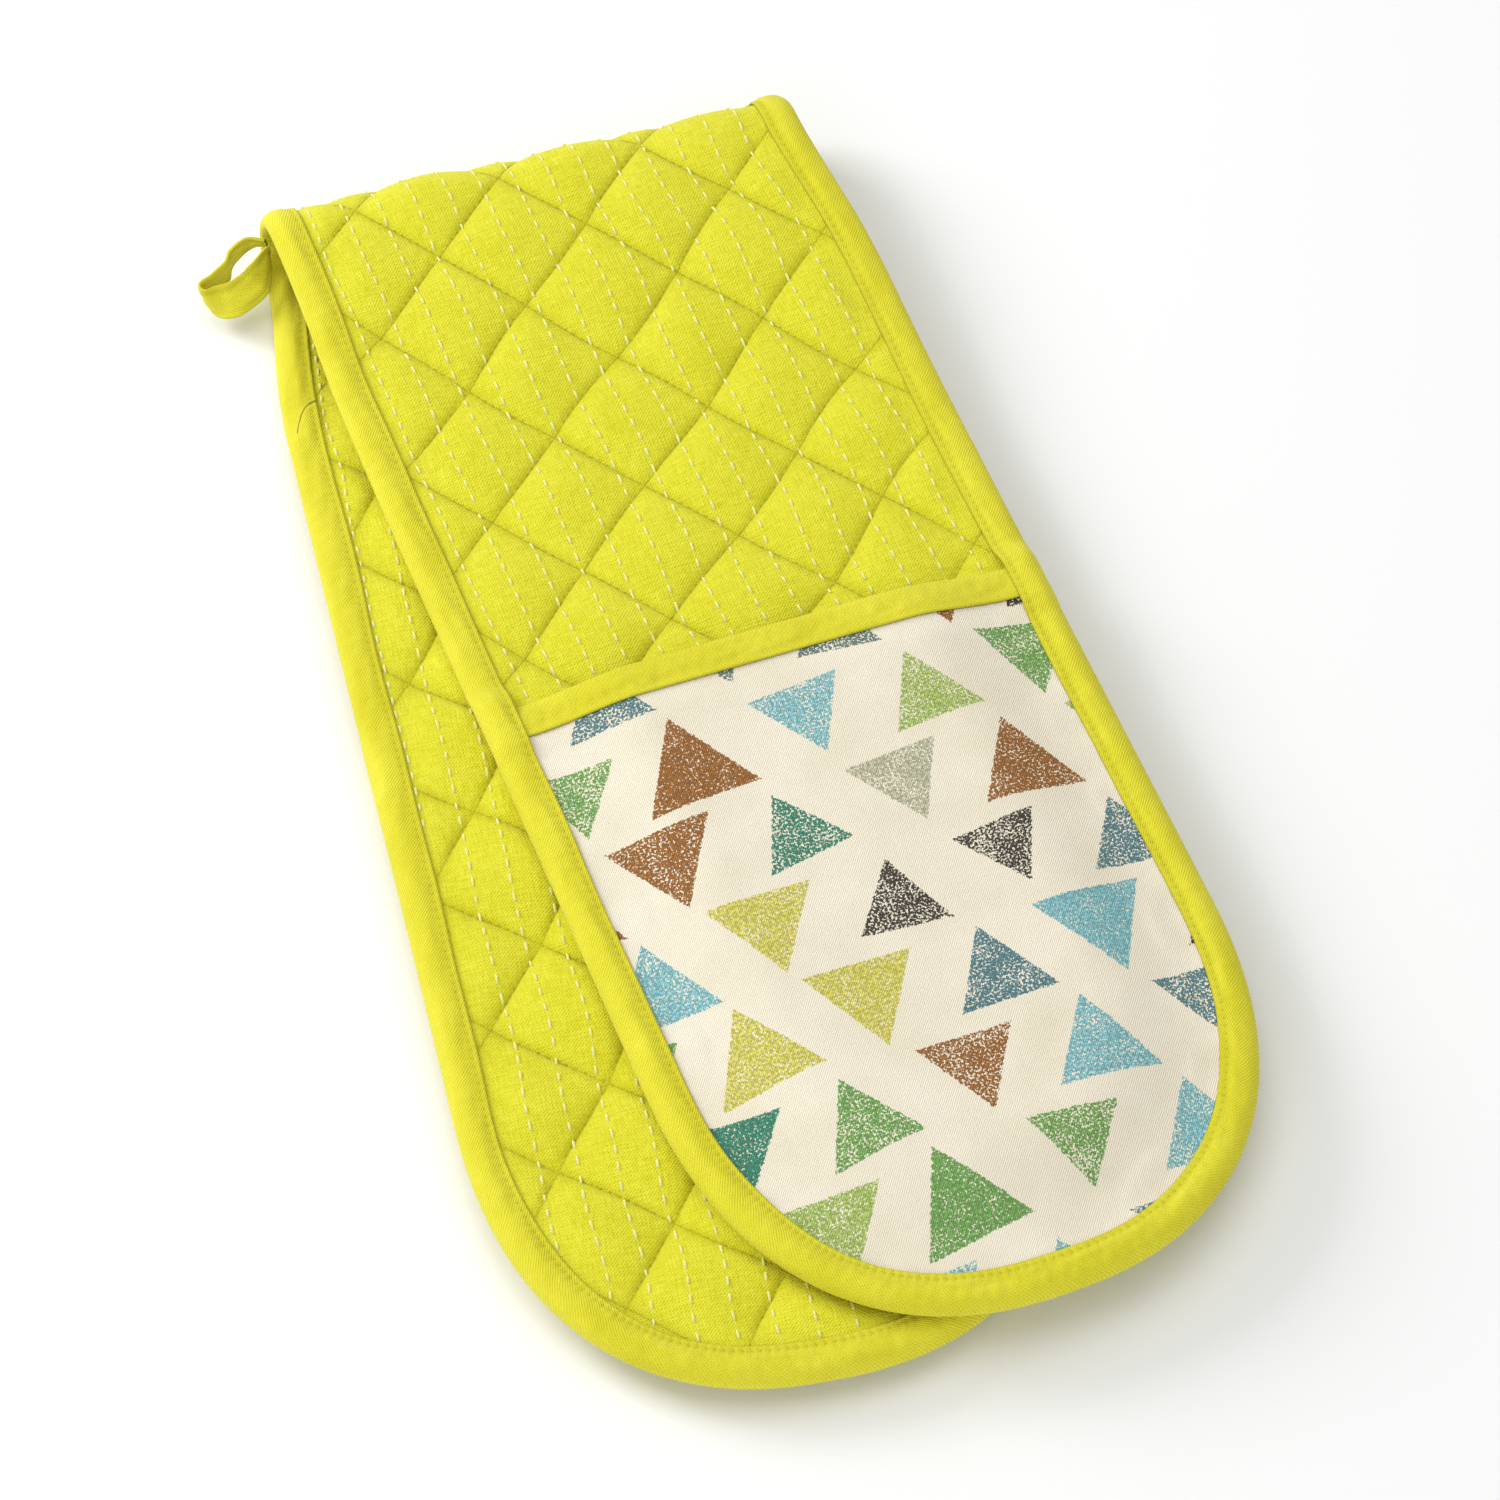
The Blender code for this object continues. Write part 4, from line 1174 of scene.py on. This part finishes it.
RUNNING_PITCH = 0.0057
RUNNING_LENGTH = 0.0038
RUNNING_WIDTH = 0.00086
RUNNING_ROWS = (-1, 15)
RUNNING_STRAY = 0.0002
RUNNING_TURN = 0.03
RUNNING_UNEVEN = (0.85, 1.12)
RUNNING_MARGIN = 0.0006
ON_SEAM = 0.85
SEAM_CUT_SHARE = 0.3
POCKET_SIGHT = 0.03
QUILTING_LENGTH = 0.0022
QUILTING_WIDTH = 0.00040
QUILTING_UNEVEN = (0.9, 1.1)
TOPSTITCH_LENGTH = 0.0023
TOPSTITCH_WIDTH = 0.00044
TOPSTITCH_UNEVEN = (0.92, 1.08)
THREAD_TWIST = 0.0006
THREAD_SLANT = 1.6
THREAD_FUZZ = 0.0004
THREAD_DEPTH = 0.00005
CREAM_THREAD = linear_colour(255, 255, 176)
CREAM_THREAD_SHADE = linear_colour(255, 251, 138)
LIME_THREAD = linear_colour(222, 218, 36)
LIME_THREAD_SHADE = linear_colour(200, 194, 12)


def thread_material(name, light, shade):
    """Twisted sewing thread: slanting strands, shaded between them."""
    material, shader, flat = new_material(name, roughness=0.7, sheen=0.1)
    u, s = flat.parts()
    strands = (u * THREAD_SLANT + s).wave(THREAD_TWIST)
    fuzz = flat.noise(flat, THREAD_FUZZ, 2.0)
    colour = (strands * 0.25 + fuzz * 0.5 + 0.25).eased(0.0, 1.0).mixed(shade, light)
    finish_cloth(flat, shader, colour, strands, THREAD_DEPTH)
    return material


def stitches(name, rows, width, surface, outward, sides, material):
    """Beads along the cloth, one for each middle point, all in one piece.

    Each has four rings along it, full in the middle and thin at the ends. The
    middle stands proud of the surface and the ends sink into it.
    """
    middle, ahead, length = rows
    along = np.array([-0.5, -0.27, 0.27, 0.5])
    girth = np.array([0.35, 1, 1, 0.35])
    lift = np.array([-0.42, 0.2, 0.2, -0.42]) * width
    turn = np.linspace(0, 2 * pi, sides, endpoint=False) + pi / sides
    across = np.stack([-ahead[:, 1], ahead[:, 0]], 1)
    run = (length[:, None] * along)[:, :, None]
    wide = np.cos(turn) * girth[:, None] * width / 2
    tall = np.sin(turn) * girth[:, None] * width / 2
    lengthways = ahead[:, None, None] * run[..., None]
    sideways = across[:, None, None] * wide[None, :, :, None]
    flat = middle[:, None, None] + lengthways + sideways
    base = middle[:, None] + ahead[:, None] * run
    level = surface(base[..., 0], base[..., 1])[:, :, None]
    height = level + outward * (lift[:, None] + tall)
    verts = place(flat[..., 0], flat[..., 1], height)
    count = len(along) * sides
    number = np.arange(count).reshape(-1, sides)
    after = np.roll(number, -1, axis=1)
    one = np.stack([number[:-1], number[1:], after[1:], after[:-1]], -1).reshape(-1, 4)
    cap = np.array([[0, i + 1, i + 2, i + 3] for i in range(0, sides - 2, 2)])
    one = np.concatenate([one, cap, number[-1, cap][:, ::-1]])
    faces = (np.arange(len(middle))[:, None, None] * count + one).reshape(-1, 4)
    if outward > 0:
        faces = faces[:, ::-1]
    places = np.broadcast_to(run, (*run.shape[:2], sides))
    around = np.broadcast_to(turn * width / 2, places.shape)
    thread = np.stack([around, places], -1).reshape(-1, 2)
    return new_piece(name, verts.reshape(-1, 3), faces.tolist(), thread, material)


def sees_daylight(u, s, outward, margin):
    """Whether a stitch shows: in from the edge tape by the margin, and not deep in a pocket."""
    clear = edge_distance(u, s) > EDGE_TAPE_WIDTH + margin
    if outward > 0:
        clear &= np.abs(s) < POCKET_MOUTH + POCKET_SIGHT
    return clear


def running_rows(half, outward, random):
    """Middles, directions and lengths of the running stitches on one face of one half."""
    steps = np.arange(int(HALF_LENGTH / RUNNING_PITCH))
    row, s = np.meshgrid(np.arange(*RUNNING_ROWS), half * steps * RUNNING_PITCH, indexing="ij")
    s = s + random.uniform(0, RUNNING_PITCH, (len(row), 1)) + random.normal(0, RUNNING_STRAY, s.shape)
    u = row_place(row, s)
    lean = (row_place(row, s + RUNNING_LENGTH) - u) / RUNNING_LENGTH
    t = half * (s * cos(SPLAY) - u * sin(SPLAY))
    keep = sees_daylight(u, s, outward, RUNNING_MARGIN) & (t > RUNNING_LENGTH / 2)
    middle = np.stack([u[keep], s[keep]], 1)
    ahead = np.stack([lean[keep] + random.normal(0, RUNNING_TURN, keep.sum()), np.ones(keep.sum())], 1)
    ahead /= np.hypot(ahead[:, 0], ahead[:, 1])[:, None]
    length = RUNNING_LENGTH * random.uniform(*RUNNING_UNEVEN, len(middle))
    on_seam = seam_depth(u[keep], s[keep]) > ON_SEAM
    return middle, ahead, length * (1 - SEAM_CUT_SHARE * on_seam)


def quilting_rows(half, outward, random):
    """Middles, directions and lengths of the quilting stitches on one face of one half."""
    found = []
    for one, other in ((DIAMOND_A, DIAMOND_B), (DIAMOND_B, DIAMOND_A)):
        side = np.hypot(*one)
        reach = round(DIAMOND_REACH * side / QUILTING_PITCH)
        steps = (np.arange(-reach, reach) + 0.5) * QUILTING_PITCH / side
        line, along = np.meshgrid(np.arange(-DIAMOND_REACH, DIAMOND_REACH + 1), steps, indexing="ij")
        pure = DIAMOND_START + line[..., None] * other + along[..., None] * one
        u, s = pure[..., 0], pure[..., 1]
        stray = seam_wander(u, s)
        u, s = u + stray[0], s + stray[1]
        t = half * (s * cos(SPLAY) - u * sin(SPLAY))
        keep = sees_daylight(u, s, outward, 0) & (t > QUILTING_LENGTH / 2)
        found.append((np.stack([u[keep], s[keep]], 1), np.tile(one / side, (keep.sum(), 1))))
    middle, ahead = (np.concatenate(parts) for parts in zip(*found))
    return middle, ahead, QUILTING_LENGTH * random.uniform(*QUILTING_UNEVEN, len(middle))


def tape_stitches(half, random):
    """Middles, directions and lengths of the stitches along one half's edge tape."""
    route, inward, length = edge_route(half)
    at = np.arange(TOPSTITCH_PITCH / 2, length[-1], TOPSTITCH_PITCH)
    line = route + inward * TOPSTITCH_IN
    line[:, 1] = towards_fold(line[:, 0], line[:, 1])
    middle = np.stack([np.interp(at, length, part) for part in line.T], 1)
    along = np.stack([-half * inward[:, 1], half * inward[:, 0]])
    ahead = np.stack([np.interp(at, length, part) for part in along], 1)
    ahead /= np.hypot(ahead[:, 0], ahead[:, 1])[:, None]
    return middle, ahead, TOPSTITCH_LENGTH * random.uniform(*TOPSTITCH_UNEVEN, len(at))


def tape_top(u, s):
    """Height of the stitching's groove in the outer side of the edge tape."""
    return EDGE_HIGH + EDGE_LIP + edge_rise(u, s) - TOPSTITCH_GROOVE


def tape_bottom(u, s):
    """Height of the stitching's groove in the inner side of the edge tape."""
    return np.full(np.shape(u), EDGE_LOW - EDGE_LIP + TOPSTITCH_GROOVE)


def outer_face(u, s):
    """Height of the quilted panel's outer face."""
    return panel_levels(u, s)[1]


def inner_face(u, s):
    """Height of the quilted panel's inner face."""
    return panel_levels(u, s)[0]


cream_thread = thread_material("cream_thread", CREAM_THREAD, CREAM_THREAD_SHADE)
lime_thread = thread_material("lime_thread", LIME_THREAD, LIME_THREAD_SHADE)

for part, half in HALVES:
    random = np.random.default_rng(50 + half)
    for face, outward, panel, tape in (("outer", 1, outer_face, tape_top),
                                       ("inner", -1, inner_face, tape_bottom)):
        for kind, rows, width, surface, sides, thread in (
                ("running", running_rows(half, outward, random), RUNNING_WIDTH, panel, 6, cream_thread),
                ("quilting", quilting_rows(half, outward, random), QUILTING_WIDTH, panel, 4, lime_thread),
                ("tape", tape_stitches(half, random), TOPSTITCH_WIDTH, tape, 4, lime_thread)):
            piece = stitches(f"{part}_{face}_{kind}_stitches", rows, width, surface, outward, sides, thread)
            bend_with_fold(piece, half)


# Studio.
# A white floor, a broad soft light from the left, one from above, a weak one
# from the front and an even sky. The camera looks down at the photo's angle.

CAMERA_HEIGHT = radians(56.23)
CAMERA_TURN = radians(-16.83)
CAMERA_DISTANCE = 1.829
CAMERA_TARGET = Vector((0.0082, -0.0064, 0))
CAMERA_LENS = 144
CAMERA_SENSOR = 36
SKY = 0.43
WHITE = (1, 1, 1, 1)
PAPER = (0.96, 0.96, 0.96, 1)
FLOOR_REACH = 6
FLOOR_DEPTH = 0.0005
PAPER_ROUGHNESS = 0.9


def lamp(name, place, size, power):
    """A square soft box that faces the glove."""
    data = bpy.data.lights.new(name, "AREA")
    data.size = size
    data.energy = power
    box = bpy.data.objects.new(name, data)
    box.location = place
    box.rotation_euler = (-Vector(place)).to_track_quat("-Z", "Y").to_euler()
    bpy.context.collection.objects.link(box)


lamp("left_soft_box", (-1.15, 1.15, 0.95), size=0.9, power=21.5)
lamp("top_soft_box", (0.1, 0.2, 2.0), size=1.6, power=13)
lamp("front_soft_box", (-0.9, -1.3, 0.8), size=1.2, power=7.5)

world = bpy.data.worlds.new("studio")
bpy.context.scene.world = world
world.use_nodes = True
sky = world.node_tree.nodes["Background"]
path = world.node_tree.nodes.new("ShaderNodeLightPath")
seen = Thread(world.node_tree, path.outputs["Is Camera Ray"])
seen = seen.sum("MAXIMUM", seen, Thread(world.node_tree, path.outputs["Is Glossy Ray"]))
seen = seen.sum("MAXIMUM", seen, Thread(world.node_tree, path.outputs["Is Transmission Ray"]))
strength = seen + (1 - seen) * SKY
sky.inputs["Color"].default_value = WHITE
world.node_tree.links.new(strength.socket, sky.inputs["Strength"])

floor_mesh = bpy.data.meshes.new("floor")
corners = [(x * FLOOR_REACH, y * FLOOR_REACH, 0) for x, y in ((-1, -1), (1, -1), (1, 1), (-1, 1))]
floor_mesh.from_pydata(corners, [], [(0, 1, 2, 3)])
floor = bpy.data.objects.new("floor", floor_mesh)
floor.location.z = -FLOOR_DEPTH
bpy.context.collection.objects.link(floor)
paper = bpy.data.materials.new("white_paper")
paper.use_nodes = True
paper.node_tree.nodes["Principled BSDF"].inputs["Base Color"].default_value = PAPER
paper.node_tree.nodes["Principled BSDF"].inputs["Roughness"].default_value = PAPER_ROUGHNESS
floor_mesh.materials.append(paper)

lens = bpy.data.cameras.new("camera")
lens.lens = CAMERA_LENS
lens.sensor_width = CAMERA_SENSOR
camera = bpy.data.objects.new("camera", lens)
level = cos(CAMERA_HEIGHT)
back = Vector((sin(CAMERA_TURN) * level, -cos(CAMERA_TURN) * level, sin(CAMERA_HEIGHT)))
camera.location = CAMERA_TARGET + back * CAMERA_DISTANCE
camera.rotation_euler = (-back).to_track_quat("-Z", "Y").to_euler()
bpy.context.collection.objects.link(camera)
bpy.context.scene.camera = camera
bpy.context.scene.view_settings.view_transform = "Standard"
